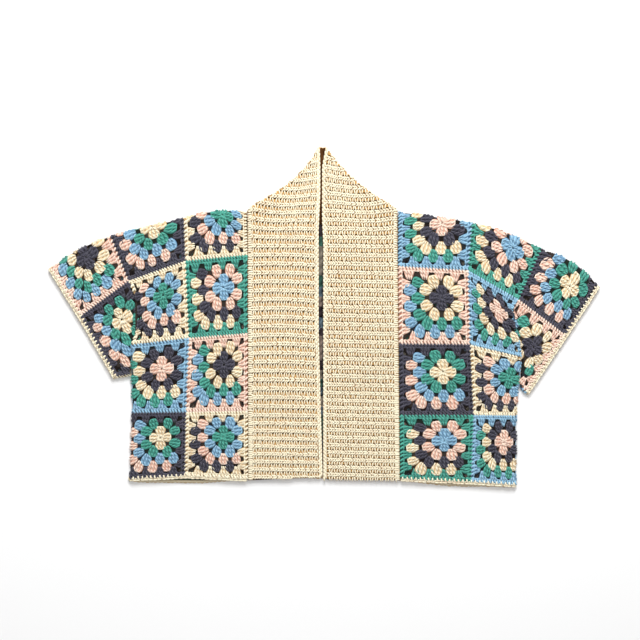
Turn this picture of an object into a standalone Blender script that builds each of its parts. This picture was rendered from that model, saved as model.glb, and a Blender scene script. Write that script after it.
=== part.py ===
"""Boxy cardigan of joined crochet squares, laid flat with its front up.

Run it in Blender 4.5, from the text editor or with blender --background --python part.py.
X runs across the garment, Y from hem to neck, and Z up from the surface that it lies on.
Sizes are millimetres up to the place where a mesh is made, and metres in the mesh.
"left" and "right" are the sides as seen from above. u and v run across and up a square, as
seen from its outside.
"""
import math

import bpy
from mathutils import Vector
from mathutils.geometry import delaunay_2d_cdt

MM = 0.001

# The cloth
WALL = 3.0  # thickness of the crochet
LAYER_GAP = 0.6  # air between the front and the back of the flat garment
SEAM = 0.2  # each piece stops this far inside its seam line
SQUARE = 120.0  # nominal side of a square, for spacing the points of its mesh
EDGING = 5.5  # width of the plain crochet round hem and cuffs
RIB_PITCH = 14.5  # from one ridge of the neckband to the next
RIB_HEIGHT = 1.6
RIB_PARTS = 5  # pieces of each line of a rib where the cloth is bent in its plane
GAP = 3.7  # half the diagonal of a gap between two clusters of stitches

# Heights of the middle of the cloth
BACK_Z = WALL / 2
FRONT_Z = 1.5 * WALL + LAYER_GAP
LAP_RISE = WALL + LAYER_GAP  # where the side of the body lies over the sleeve
FOLD_STEPS = 4  # facets round a fold
EDGE_STEPS = 6  # and along it, on one square
NUDGE = 1e-4  # step on a chart, for slopes
TINY = 1e-5  # points and areas below this count as one point and as nothing
UP = Vector((0, 0, 1))
MIDDLE = Vector((0.3, -2.8, 0))  # of the whole garment, in the coordinates below

# Where seam lines meet: x, y. The rows run fold, front, back (across the top row of squares),
# the seam across the back of the sleeve, then the lines between the rows of the body, and the hem.
POINTS = {
    "left": {
        "fold": {"cuff": (-461, 80), "arm": (-360, 134), "yoke": (-237, 164), "neck": (-131.6, 175)},
        "front": {"cuff": (-411, -1), "arm": (-330, 58), "yoke": (-234, 92), "neck": (-130, 102)},
        "back": {"cuff": (-452, 65), "arm": (-346, 98), "yoke": (-236, 116), "neck": (-131.6, 166)},
        "sleeve back": {"cuff": (-399.5, -20), "arm": (-323, 12)},
        "row 3": {"side": (-325, -49), "inner": (-228, -38), "neck": (-129.6, -30)},
        "row 4": {"side": (-324, -164), "inner": (-233, -163), "neck": (-129.3, -161)},
        "hem": {"side": (-328, -275), "inner": (-235, -270), "neck": (-129, -275)},
        "sleeve": {"tip": (-351, -105), "under": (-262, -62)},
    },
    "right": {
        "fold": {"cuff": (462, 51), "arm": (367, 112), "yoke": (250, 157), "neck": (126.6, 175)},
        "front": {"cuff": (407, -33), "arm": (328, 27), "yoke": (243, 76), "neck": (125.4, 83)},
        "back": {"cuff": (457, 43), "arm": (360, 97.5), "yoke": (248, 112), "neck": (126.6, 166)},
        "sleeve back": {"cuff": (402, -40.5), "arm": (329.6, 9.8)},
        "row 3": {"side": (332, -69), "inner": (246, -49), "neck": (126.7, -48)},
        "row 4": {"side": (324, -169), "inner": (252, -168), "neck": (127.9, -168)},
        "hem": {"side": (324, -285), "inner": (248, -280), "neck": (128.9, -275)},
        "sleeve": {"tip": (341, -131), "under": (245, -67)},
    },
}
# How far the seam lines bow, to the left of their direction
FOLD_BOW = {  # by the outer end of each top square
    "left": {"cuff": 6, "arm": 1.5, "yoke": 7},
    "right": {"cuff": 10, "arm": 5, "yoke": 1},
}
# The side edge over the sleeve: its bow, and a power that moves the middle of the bow upwards
BODY_EDGE_BOW = {"left": (-13.5, 1), "right": (11.0, 3)}
SLEEVE_BOTTOM_BOW = {"left": -10, "right": 0}
SLEEVE_ANGLE = {"left": 35.0, "right": 41.7}  # slope of the sleeve, degrees

# The side of the body over the sleeve: x where it lies flat again, x and y where it is fully
# raised, and y where it starts and ends.
LAP = {
    "left": {"flat x": -255, "raised x": -296, "top y": (58, 46), "low y": (-60, -125)},
    "right": {"flat x": 262, "raised x": 303, "top y": (27, 15), "low y": (-80, -145)},
}
# The end of the sleeve under that side: x of the hidden edge, its top and low y, the x of the
# body's fold just below it, and the y where that fold begins
TUCK = {
    "left": {"hidden x": -301, "top y": 22, "low y": -35, "fold x": -327.8, "fold y": -47.4},
    "right": {"hidden x": 309, "top y": -10, "low y": -55, "fold x": 334.2, "fold y": -66.5},
}
TUCK_EDGE = 14.0  # length of its edge along the end of the body's fold
# Shares of the body's side seam, from low to high, that the sleeve lies beside or under
BESIDE_SLEEVE = (0.99, 0.93, 0.86)
BEHIND_SLEEVE = (0.02, 0.25, 0.5, 0.75, 0.99)
SLEEVE_TOP = 0.98  # share of the sleeve's top seam that its lower front reaches

# Columns of the back: x, y at the top, x from row 3 down, y at the hem
BACK_COLUMNS = (
    (-346, 98, -309, -277),
    (-236, 116, -206, -278),
    (-131.6, 166, -103, -270),
    (-2, 153, -2, -270),
    (126.6, 166, 103, -271),
    (248, 112, 208, -283),
    (360, 97.5, 311, -285),
)
BACK_ROWS = (0.0, 0.37, 0.685, 1.0)  # the lines between its rows, as shares of its height

# Neckband: y, x of the free edge. The seam edges are straight.
BAND_FREE = {
    "left": ((-273, -2.6), (-261, -2.6), (-25, -9), (144, -9), (205, -6.3), (250, -6.3), (285, -7.5)),
    "right": ((-276, -1.2), (-261, -1.2), (120, -1.2), (160, -3.2), (250, -3.2), (285, 3)),
}
BAND_SEAM = {"left": ((-128.5, -278), (-129.4, 175)), "right": ((128.4, -278), (123.9, 175))}
BAND_PEAK_Y = 285
BAND_NECK = (-2, 153.6)  # middle of the seam at the back of the neck
BAND_PEAK_BACK = (-2, 282)  # middle of the free edge at the back of the neck
BAND_DIP = {"left": 10.5, "right": 8.0}  # how far its fold curves in from the straight line
BAND_BULGE = 2.5  # and out again beside the neck seam
DIP_START, DIP_END = 0.15, 0.84  # shares of the way from the peak to the neck seam
DIP_REACH = 45.0  # how far down the front the cloth follows the curve
BAND_REACH = 400.0  # longer than any line across the band
FOLD_POINTS = 44  # on such a line along the fold
BAND_OVERLAP = 5.0  # past its edges, so that the lines of the ribs cross them
CLEAR = 0.8  # between pieces that lie beside each other with no seam line of their own

# Gaps of a square that go through, in shares of its side: four round the flower, four corners
FLOWER = 0.61  # middle of the flower, across and up
FLOWER_GAPS = tuple((FLOWER + a, FLOWER + b) for a in (-0.08, 0.08) for b in (-0.08, 0.08))
CORNER_GAPS = ((0.07, 0.86), (0.93, 0.93), (0.12, 0.07), (0.93, 0.09))
HIDDEN_SIDE_GAPS = FLOWER_GAPS + CORNER_GAPS[:2]
SHOWN_SIDE_GAPS = FLOWER_GAPS + CORNER_GAPS
# Where the flower is pulled to in the squares that lie stretched: across, up
PULLED_FLOWERS = {
    "left_sleeve_top": (0.53, 0.59),
    "left_shoulder_outer": (0.56, 0.62),
    "left_shoulder_inner": (0.63, 0.66),
    "left_side_2": (0.53, 0.65),
    "left_sleeve_front": (0.58, 0.66),
    "right_sleeve_top": (0.65, 0.55),
    "right_shoulder_outer": (0.63, 0.58),
    "right_shoulder_inner": (0.59, 0.66),
    "right_side_2": (0.65, 0.67),
    "right_sleeve_front": (0.69, 0.58),
}

# Yarns: red, green, blue
YARNS = {
    "green": (0.10, 0.40, 0.30),
    "cream": (0.87, 0.78, 0.60),
    "slate": (0.10, 0.12, 0.15),
    "blush": (0.82, 0.62, 0.49),
    "blue": (0.28, 0.52, 0.66),
}

# Edge colours of the squares, as joined
TOP_ROW = {
    "left": {"sleeve_top": "blush", "shoulder_outer": "slate", "shoulder_inner": "cream"},
    "right": {"sleeve_top": "slate", "shoulder_outer": "green", "shoulder_inner": "blue"},
}
FRONT_ROWS = {
    "left": {"side": ("cream", "blue", "slate"), "inner": ("green", "blush", "cream")},
    "right": {"side": ("blue", "cream", "blue"), "inner": ("blush", "slate", "green")},
}
SLEEVE_LOW = {  # lower front, lower back, upper back
    "left": ("slate", "cream", "green"),
    "right": ("blush", "blue", "cream"),
}
BACK_EDGES = (
    ("blue", "green", "slate", "cream", "blush", "green"),
    ("cream", "blush", "blue", "green", "slate", "cream"),
    ("green", "slate", "cream", "blush", "blue", "blush"),
)


def smooth(start, end, x):
    """0 at start, 1 at end, and a smooth rise between them."""
    share = min(max((x - start) / (end - start), 0.0), 1.0)
    return share * share * (3 - 2 * share)


def flat_cloth(point):
    """No rise anywhere."""
    return 0.0


def lap_rise(side):
    """How far the body's side rises over the sleeve that it lies on, at a point."""
    lap = LAP[side]

    def rise(point):
        across = smooth(lap["flat x"], lap["raised x"], point[0])
        from_top = smooth(lap["top y"][0], lap["top y"][1], point[1])
        from_low = smooth(lap["low y"][1], lap["low y"][0], point[1])
        return LAP_RISE * across * from_top * from_low

    return rise


def line(start, end, bow=0.0):
    """A seam line from start to end that bows to its left, as a function of 0 to 1."""
    start, end = Vector(start), Vector(end)
    left = Vector((start.y - end.y, end.x - start.x)).normalized()
    return lambda t: start.lerp(end, t) + left * (4 * bow * t * (1 - t))


def flat_piece(bottom, top, left, right, height, outside, rise=flat_cloth):
    """Cloth between four seam lines: the middle of the wall and its outward side at u, v."""

    def place(u, v):
        ruled = bottom(u) * (1 - v) + top(u) * v + left(v) * (1 - u) + right(v) * u
        low = bottom(0) * (1 - u) + bottom(1) * u
        high = top(0) * (1 - u) + top(1) * u
        point = ruled - low * (1 - v) - high * v
        return Vector((point.x, point.y, height + rise(point))), outside

    return place


def fold_axis(outline, out_start, out_end, rise=flat_cloth):
    """The axis of a rolled fold whose outside reaches the outline: axis point, out, radius."""
    out_start, out_end = Vector(out_start).normalized(), Vector(out_end).normalized()

    def at(q):
        out = out_start.lerp(out_end, q).normalized()
        reach = outline(q)
        radius = (FRONT_Z + rise(reach) - BACK_Z) / 2
        return reach - out * (radius + WALL / 2), out, radius

    return at


def fold_lengths(front, fold, back, q):
    """Cloth before, round and after the fold, at q along it."""
    axis, _, radius = fold(q)
    return (axis - front(q)).length, math.pi * radius, (back(q) - axis).length


def folded_piece(front, fold, back, rise=flat_cloth):
    """Cloth from the line front, round the fold, to the line back: p across it, q along it."""

    def place(p, q):
        before, around, after = fold_lengths(front, fold, back, q)
        axis, out, radius = fold(q)
        run = p * (before + around + after) - before
        if run <= 0:
            point = axis.lerp(front(q), -run / before) if before else axis
            return Vector((point.x, point.y, FRONT_Z + rise(point))), UP
        if run < around:
            turn = run / radius
            point = axis + out * (radius * math.sin(turn))
            height = BACK_Z + radius * (1 + math.cos(turn))
            side = out * math.sin(turn)
            return Vector((point.x, point.y, height)), Vector((side.x, side.y, math.cos(turn)))
        point = axis.lerp(back(q), (run - around) / after)
        return Vector((point.x, point.y, BACK_Z)), -UP

    return place


def fold_share(front, fold, back, q, step):
    """p of one facet line of the fold at q, step 0 being where the fold begins."""
    before, around, after = fold_lengths(front, fold, back, q)
    return (before + around * step / FOLD_STEPS) / (before + around + after)


def chart_point(place, x, y, guess):
    """u, v of the point of a piece that lies at x, y."""
    u, v = guess
    for _ in range(30):
        here, along, up = place(u, v)[0], place(u + NUDGE, v)[0], place(u, v + NUDGE)[0]
        a, b = (along.x - here.x) / NUDGE, (up.x - here.x) / NUDGE
        c, d = (along.y - here.y) / NUDGE, (up.y - here.y) / NUDGE
        det = a * d - b * c
        ex, ey = x - here.x, y - here.y
        u = min(max(u + (d * ex - b * ey) / det, 0.0), 1.0)
        v = min(max(v + (a * ey - c * ex) / det, 0.0), 1.0)
    return u, v


def inside(point, loop):
    """Whether a point of the plane is inside a loop of points."""
    crossed = False
    for a, b in zip(loop, loop[1:] + loop[:1]):
        if (a[1] > point[1]) != (b[1] > point[1]):
            if point[0] < a[0] + (b[0] - a[0]) * (point[1] - a[1]) / (b[1] - a[1]):
                crossed = not crossed
    return crossed


def triangles_of(outline, gaps=(), lines=(), dots=()):
    """Triangles of a flat outline without its gaps, with edges along the lines."""
    points, edges = [], []

    def add(path, closed):
        first = len(points)
        points.extend(Vector(p) for p in path)
        last = len(points)
        edges.extend((i, i + 1) for i in range(first, last - 1))
        if closed:
            edges.append((last - 1, first))

    add(outline, True)
    for loop in gaps:
        add(loop, True)
    for path in lines:
        add(path, False)
    points.extend(Vector(p) for p in dots)
    made, _, faces, *_ = delaunay_2d_cdt(points, edges, [], 0, TINY)
    kept = []
    for a, b, c in faces:
        a, b, c = made[a], made[b], made[c]
        area = (b - a).cross(c - a) / 2
        middle = (a + b + c) / 3
        if abs(area) < TINY or not inside(middle, outline):
            continue
        if not any(inside(middle, loop) for loop in gaps):
            kept.append((a, b, c) if area > 0 else (a, c, b))
    return kept


def wall(name, sheets, colour, raised=None):
    """One closed solid around the middle surface of its sheets: (triangles, place) pairs."""
    index, outer, inner, faces, uses = {}, [], [], [], {}
    for triangles, place in sheets:
        for triangle in triangles:
            corners = []
            for spot in triangle:
                middle, out = place(spot.x, spot.y)
                key = tuple(round(x * 100) for x in middle)
                if key not in index:
                    index[key] = len(outer)
                    lift = raised(spot, out) if raised else 0.0
                    outer.append(middle + out * (WALL / 2 + lift))
                    inner.append(middle - out * (WALL / 2))
                corners.append(index[key])
            if len(set(corners)) == 3:
                faces.append(tuple(corners))
    for face in faces:
        for a, b in zip(face, face[1:] + face[:1]):
            uses[(a, b)] = uses.get((a, b), 0) + 1
    n = len(outer)
    solid = list(faces) + [(c + n, b + n, a + n) for a, b, c in faces]
    solid += [(b, a, a + n, b + n) for a, b in uses if (b, a) not in uses]
    return add_object(name, outer + inner, solid, colour)


def add_object(name, points, faces, colour):
    """A named object in metres, with a material of its own."""
    mesh = bpy.data.meshes.new(name)
    mesh.from_pydata([(p - MIDDLE) * MM for p in points], [], faces)
    mesh.update()
    part = bpy.data.objects.new(name, mesh)
    bpy.context.scene.collection.objects.link(part)
    material = bpy.data.materials.new(name + "_yarn")
    material.use_nodes = True
    shader = material.node_tree.nodes["Principled BSDF"]
    shader.inputs["Base Color"].default_value = (*YARNS[colour], 1)
    shader.inputs["Roughness"].default_value = 0.9
    shader.inputs["Metallic"].default_value = 0.0
    mesh.materials.append(material)
    return part


def pulled(share, flower):
    """Place on a stretched square of a share of an even one."""
    if share < FLOWER:
        return share * flower / FLOWER
    return 1 - (1 - share) * (1 - flower) / (1 - FLOWER)


def diamonds(centres):
    """Gaps as four-sided loops, in millimetres on the chart of a square."""
    loops = []
    for u, v in centres:
        x, y = u * SQUARE, v * SQUARE
        loops.append([(x - GAP, y), (x, y - GAP), (x + GAP, y), (x, y + GAP)])
    return loops


def add_square(name, place, colour, gaps, outline=None, lines=(), dense=False, steps=4):
    """A square: the outline and the lines are in u, v, and the steps are along its edges."""
    inset = SEAM / SQUARE
    if outline is None:
        ticks = [inset + (1 - 2 * inset) * i / steps for i in range(steps + 1)]
        outline = [(t, inset) for t in ticks] + [(1 - inset, t) for t in ticks[1:]]
        outline += [(t, 1 - inset) for t in ticks[-2::-1]] + [(inset, t) for t in ticks[-2:0:-1]]
    loop = scaled(outline)
    across, up = PULLED_FLOWERS.get(name, (FLOWER, FLOWER))
    centres = [(pulled(u, across), pulled(v, up)) for u, v in gaps]
    holes = [h for h in diamonds(centres) if all(inside(p, loop) for p in h)]
    dots = []
    if dense:
        ticks = [i / 8 for i in range(1, 8)]
        dots = scaled((u, v) for u in ticks for v in ticks)
        dots = [d for d in dots if not any(inside(d, h) for h in holes)]
    triangles = triangles_of(loop, holes, [scaled(path) for path in lines], dots)
    on_chart = [tuple(p / SQUARE for p in t) for t in triangles]
    return wall(name, [(on_chart, place)], colour)


def scaled(path):
    """A path of a unit chart in millimetres."""
    return [(u * SQUARE, v * SQUARE) for u, v in path]


def fold_normals(side):
    """Outward directions at the points of a shoulder's fold, across the neighbouring seams."""
    fold = POINTS[side]["fold"]
    order = ["cuff", "arm", "yoke", "neck"] if side == "left" else ["neck", "yoke", "arm", "cuff"]
    spots = [Vector(fold[k]) for k in order]
    normals = {}
    for i, key in enumerate(order):
        along = spots[min(i + 1, 3)] - spots[max(i - 1, 0)]
        normals[key] = Vector((-along.y, along.x)).normalized()
    return normals


def top_squares(side):
    """The three squares that lie over the fold of one shoulder and sleeve."""
    points, normals = POINTS[side], fold_normals(side)
    for name, outer, nearer in (
        ("sleeve_top", "cuff", "arm"),
        ("shoulder_outer", "arm", "yoke"),
        ("shoulder_inner", "yoke", "neck"),
    ):
        a, b = (outer, nearer) if side == "left" else (nearer, outer)
        front = line(points["front"][a], points["front"][b])
        back = line(points["back"][a], points["back"][b])
        outline = line(points["fold"][a], points["fold"][b], FOLD_BOW[side][outer])
        fold = fold_axis(outline, normals[a], normals[b])
        across = folded_piece(front, fold, back)
        steps = EDGE_STEPS
        ticks = [i / steps for i in range(steps + 1)]
        lines = [
            [(q, fold_share(front, fold, back, q, step)) for q in ticks]
            for step in range(FOLD_STEPS + 1)
        ]
        add_square(
            f"{side}_{name}",
            lambda u, v, across=across: across(v, u),
            TOP_ROW[side][name],
            SHOWN_SIDE_GAPS,
            lines=lines,
            steps=steps,
        )


def body_edge(side):
    """The side seam line of the second row, which lies over the sleeve, from low to high."""
    low, high = Vector(POINTS[side]["row 3"]["side"]), Vector(POINTS[side]["front"]["arm"])
    left = Vector((low.y - high.y, high.x - low.x)).normalized()
    bow, power = BODY_EDGE_BOW[side]
    top = power / (power + 1)
    scale = bow / (top**power * (1 - top))
    return lambda t: low.lerp(high, t) + left * (scale * t**power * (1 - t))


def side_and_inner(side, low, high, column, colour, number):
    """One square of the front: flat, or folded round the side of the body in rows 3 and 4."""
    points, rise = POINTS[side], lap_rise(side)
    first, second = ("side", "inner") if column == "side" else ("inner", "neck")
    top = dict(points[high])
    if high == "front":
        top["side"], top["inner"] = top["arm"], top["yoke"]
    if side == "right":
        first, second = second, first
    corner = [points[low][first], points[low][second], top[second], top[first]]
    bottom, upper = line(corner[0], corner[1]), line(corner[3], corner[2])
    left, right = line(corner[0], corner[3]), line(corner[1], corner[2])
    name = f"{side}_{column}_{number}"
    if column == "inner":
        place = flat_piece(bottom, upper, left, right, FRONT_Z, UP)
        return add_square(name, place, colour, SHOWN_SIDE_GAPS, steps=1)
    if high == "front":
        edge = body_edge(side)
        left, right = (edge, right) if side == "left" else (left, edge)
        place = flat_piece(bottom, upper, left, right, FRONT_Z, UP, rise)
        return add_square(name, place, colour, SHOWN_SIDE_GAPS, dense=True, steps=8)
    outward = (-1, 0) if side == "left" else (1, 0)
    column_points = back_points()[0 if side == "left" else -1]
    back = line(column_points[number], column_points[number - 1])
    near, outline = (right, left) if side == "left" else (left, right)
    raised = rise if number == 3 else flat_cloth
    fold = fold_axis(outline, outward, outward, raised)
    across = folded_piece(near, fold, back, raised)
    steps = EDGE_STEPS
    ticks = [i / steps for i in range(steps + 1)]
    lines = [
        [(fold_share(near, fold, back, q, step), q) for q in ticks]
        for step in range(FOLD_STEPS + 1)
    ]
    if side == "left":
        lines = [[(1 - p, q) for p, q in path] for path in lines]

    def place(u, v):
        return across(1 - u if side == "left" else u, v)

    return add_square(name, place, colour, SHOWN_SIDE_GAPS, None, lines, number == 3, steps)


def front_squares(side):
    """Two columns of three squares beside the neckband."""
    rows = (("row 3", "front", 2), ("row 4", "row 3", 3), ("hem", "row 4", 4))
    for column, colours in FRONT_ROWS[side].items():
        for (low, high, number), colour in zip(rows, colours):
            side_and_inner(side, low, high, column, colour, number)


def back_points():
    """x, y where the seam lines of the back cross, for each column from the top down."""
    columns = []
    for top_x, top_y, low_x, hem_y in BACK_COLUMNS:
        column = {}
        for number, share in enumerate(BACK_ROWS):
            x = top_x if number == 0 else low_x
            column[number + 1] = (x, top_y + share * (hem_y - top_y))
        columns.append(column)
    return columns


def back_squares():
    """Three rows of six squares, with their outside to the floor."""
    columns = back_points()
    for row, colours in enumerate(BACK_EDGES, start=1):
        for number, colour in enumerate(colours):
            near, far = columns[number], columns[number + 1]
            place = flat_piece(
                line(far[row + 1], near[row + 1]),
                line(far[row], near[row]),
                line(far[row + 1], far[row]),
                line(near[row + 1], near[row]),
                BACK_Z,
                -UP,
            )
            add_square(f"back_{row + 1}_{number + 1}", place, colour, HIDDEN_SIDE_GAPS, steps=1)


def sleeve_bottom(side):
    """The fold along the bottom of a sleeve, from left to right."""
    points = POINTS[side]["sleeve"]
    start, end = ("tip", "under") if side == "left" else ("under", "tip")
    outline = line(points[start], points[end], SLEEVE_BOTTOM_BOW[side])
    along = Vector(points[end]) - Vector(points[start])
    out = (along.y, -along.x)
    return fold_axis(outline, out, out)


def sleeve_squares(side):
    """The lower front and the back of a sleeve, whose inner end lies under the body."""
    points, tuck, fold = POINTS[side], TUCK[side], sleeve_bottom(side)
    names = ("cuff", "arm") if side == "left" else ("arm", "cuff")
    top = line(points["front"][names[0]], points["front"][names[1]])
    middle, high = points["sleeve back"], points["back"]
    back = line(middle[names[0]], middle[names[1]])

    def axis(q):
        return fold(q)[0]

    front_place = flat_piece(axis, top, line(axis(0), top(0)), line(axis(1), top(1)), FRONT_Z, UP)
    across = folded_piece(axis, fold, back)

    def back_place(u, v):
        return across(1 - v, u)

    def column(u):
        return u if side == "left" else 1 - u

    outward = -1 if side == "left" else 1
    edge = body_edge(side)
    beside = [edge(t) + Vector((outward * CLEAR, 0)) for t in BESIDE_SLEEVE]
    hidden = [
        (tuck["hidden x"], tuck["top y"]),
        (tuck["hidden x"], tuck["low y"]),
        (tuck["fold x"] - outward * TUCK_EDGE, tuck["fold y"]),
        (tuck["fold x"], tuck["fold y"]),
    ]
    inset = SEAM / SQUARE
    under = [chart_point(front_place, x, y, (column(0.8), 0.5)) for x, y in beside + hidden]
    low = end_of_fold(fold, tuck["fold x"], side)
    loop = [(column(inset), 3 * inset), (column(low), 3 * inset)] + under[::-1]
    loop += [(column(SLEEVE_TOP), 1 - inset), (column(inset), 1 - inset)]
    loop = loop if side == "left" else loop[::-1]
    lower_front, lower_back, upper_back = SLEEVE_LOW[side]
    add_square(f"{side}_sleeve_front", front_place, lower_front, SHOWN_SIDE_GAPS, loop)

    armhole = line(middle["arm"], back_points()[0 if side == "left" else -1][2])
    spots = [armhole(t) + Vector((outward * CLEAR, 0)) for t in BEHIND_SLEEVE]
    spots.append((tuck["fold x"], tuck["fold y"]))
    inner_end = [chart_point(back_place, x, y, (column(0.7), 0.3)) for x, y in spots]
    steps = 4
    ticks = [low * i / steps for i in range(steps + 1)]
    past = ticks + [low + 0.1]
    fold_lines = []
    for step in range(1, FOLD_STEPS + 1):
        shares = [(column(q), 1 - fold_share(axis, fold, back, column(q), step)) for q in past]
        fold_lines.append([(column(-0.01), shares[0][1])] + shares)
    loop = [(column(inset), inset)] + inner_end
    loop += [(column(q), 1 - inset) for q in ticks[::-1][:-1]] + [(column(inset), 1 - inset)]
    loop = loop if side == "left" else loop[::-1]
    add_square(f"{side}_sleeve_back", back_place, lower_back, SHOWN_SIDE_GAPS, loop, fold_lines)

    near, far = names
    upper_place = flat_piece(
        line(middle[far], middle[near]),
        line(high[far], high[near]),
        line(middle[far], high[far]),
        line(middle[near], high[near]),
        BACK_Z,
        -UP,
    )
    add_square(f"{side}_sleeve_back_top", upper_place, upper_back, HIDDEN_SIDE_GAPS, steps=1)


def end_of_fold(fold, x, side):
    """Share of a sleeve's bottom fold, from its cuff, that is clear of the body's side."""
    low, high = 0.0, 1.0
    for _ in range(40):
        middle = (low + high) / 2
        spot = fold(middle if side == "left" else 1 - middle)[0].x
        outside = spot < x if side == "left" else spot > x
        low, high = (middle, high) if outside else (low, middle)
    return low


def band_half(side):
    """Half of the neckband, as the cloth lies before its fold: triangles and their place."""
    low, high = (Vector(p) for p in BAND_SEAM[side])
    free = [Vector((x, y)) for y, x in BAND_FREE[side]]
    out = Vector((high.y - free[-1].y, free[-1].x - high.x))
    out = -out.normalized() if out.y < 0 else out.normalized()
    radius = (FRONT_Z - BACK_Z) / 2
    axis = high - out * (radius + WALL / 2)
    around = math.pi * radius

    def before(x, y):
        return (Vector((x, y)) - axis).dot(out)

    def across(x):
        """Share of the way from the peak to the neck seam."""
        return abs(x - BAND_NECK[0]) / abs(high.x - BAND_NECK[0])

    def dip(x):
        share = across(x)
        if share < DIP_END:
            start = smooth(0, DIP_START, share)
            return BAND_DIP[side] * start * math.sin(math.pi * share / DIP_END)
        rest = min((share - DIP_END) / (1 - DIP_END), 1.0)
        return -BAND_BULGE * math.sin(math.pi * rest)

    def place(x, y):
        far = before(x, y)
        if far <= 0:
            point = Vector((x, y)) - out * (dip(x) * math.exp(-((far / DIP_REACH) ** 2)))
            return Vector((point.x, point.y, FRONT_Z)), UP
        root = Vector((x, y)) - out * far
        if far < around:
            turn = far / radius
            root = root + out * (radius * math.sin(turn) - dip(root.x))
            side_way = out * math.sin(turn)
            height = BACK_Z + radius * (1 + math.cos(turn))
            return Vector((root.x, root.y, height)), Vector((side_way.x, side_way.y, math.cos(turn)))
        past = far - around
        root = root - out * past
        neck_y = BAND_NECK[1] + (high.y - BAND_NECK[1]) * across(root.x)
        over = max(root.y - neck_y, 0.0)
        root = root - out * (dip(root.x) * (over / (over + past + TINY)) ** 2)
        return Vector((root.x, root.y, BACK_Z)), -UP

    def unfolded(x, y):
        return Vector((x, y)) + out * (around - 2 * before(x, y))

    def seam_at(y):
        return low + (high - low) * ((y - low.y) / (high.y - low.y))

    def crossing(start, way, distance):
        """Where a line reaches that distance past the axis."""
        return start + way * ((distance - before(*start)) / way.dot(out))

    seam_way = (high - low).normalized()
    seam_turn = crossing(low, seam_way, around)
    free_way = (free[-1] - free[-2]).normalized()
    free_turn = crossing(free[-2], free_way, around)
    outline = [low] + free[:-1] + [free_turn, unfolded(*BAND_PEAK_BACK), unfolded(*BAND_NECK)]
    outline.append(seam_turn)
    if side == "right":
        outline = outline[::-1]

    along = Vector((out.y, -out.x))
    facets = []
    for step in range(FOLD_STEPS + 1):
        middle = axis + out * (around * step / FOLD_STEPS)
        spots = [BAND_REACH * (2 * i / FOLD_POINTS - 1) for i in range(FOLD_POINTS + 1)]
        facets.append([middle + along * spot for spot in spots])
    ribs = []
    count = int((BAND_PEAK_Y - low.y) / (RIB_PITCH / 2))
    for number in range(1, count + 1):
        y = low.y + number * RIB_PITCH / 2
        ends = [seam_at(y) - Vector((BAND_OVERLAP, 0)), Vector((BAND_OVERLAP, y))]
        if side == "right":
            ends = [Vector((-BAND_OVERLAP, y)), seam_at(y) + Vector((BAND_OVERLAP, 0))]
        turned = crossing(Vector((0, y)), Vector((1, 0)), around)
        if side == "left":
            ends[0].x = max(ends[0].x, turned.x)
        else:
            ends[1].x = min(ends[1].x, turned.x)
        parts = RIB_PARTS if y > high.y - 2 * DIP_REACH else 1
        ribs.append([ends[0].lerp(ends[1], i / parts) for i in range(parts + 1)])
    loop = [tuple(p) for p in outline]
    return triangles_of(loop, (), facets + ribs), place


def rib(spot, out):
    """How far the ribs stand out of the neckband at a point of its front."""
    if out.z < 0.01:
        return 0.0
    across = (spot.y - BAND_SEAM["left"][0][1]) / RIB_PITCH
    return RIB_HEIGHT * out.z * (1 - abs(2 * (across - math.floor(across)) - 1))


def neckband():
    """The ribbed band up one front, round the back of the neck and down the other front."""
    wall("neckband", [band_half("left"), band_half("right")], "cream", rib)


def strip(name, stations, closed):
    """Edging crocheted on along a path of stations: middle of the wall, outside, way out."""
    rings, faces = [], []
    (first, outside, way), second = stations[0], stations[1][0]
    if way.cross(second - first).dot(outside) < 0:
        stations = stations[::-1]
    for middle, outside, way in stations:
        near, far = middle + way * (2 * SEAM), middle + way * EDGING
        half = outside * (WALL / 2)
        rings += [near + half, far + half, far - half, near - half]
    count = len(stations)
    for i in range(count if closed else count - 1):
        a, b = 4 * i, 4 * ((i + 1) % count)
        faces += [(a + k, a + (k + 1) % 4, b + (k + 1) % 4, b + k) for k in range(4)]
    if not closed:
        last = 4 * (count - 1)
        faces += [(3, 2, 1, 0), (last, last + 1, last + 2, last + 3)]
    return add_object(name, rings, faces, "cream")


def turn_stations(axis, out, radius, way, from_front):
    """Stations round a fold, from the front of the garment to its back or the other way."""
    stations = []
    for step in range(FOLD_STEPS + 1):
        turn = math.pi * step / FOLD_STEPS
        middle = axis + out * (radius * math.sin(turn))
        height = BACK_Z + radius * (1 + math.cos(turn))
        outside = Vector((out.x * math.sin(turn), out.y * math.sin(turn), math.cos(turn)))
        stations.append((Vector((middle.x, middle.y, height)), outside, way))
    return stations if from_front else stations[::-1]


def hem_edging():
    """Plain edging along the hem: front, round one side, back, round the other side, front."""
    way = Vector((0, -1, 0))
    stations = []
    for side, outward in (("left", -1), ("right", 1)):
        points = POINTS[side]["hem"]
        end = Vector(points["side"])
        fold = fold_axis(lambda q, end=end: end, (outward, 0), (outward, 0))
        axis, out, radius = fold(0)
        flat = [Vector((*points["neck"], FRONT_Z)), Vector((*points["inner"], FRONT_Z))]
        flat[0].x += outward * CLEAR
        half = [(p, UP, way) for p in flat] + turn_stations(axis, out, radius, way, True)
        if side == "left":
            stations += half
            stations += [(Vector((*c[4], BACK_Z)), -UP, way) for c in back_points()]
        else:
            stations += half[::-1]
    strip("hem_edging", stations, False)


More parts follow.
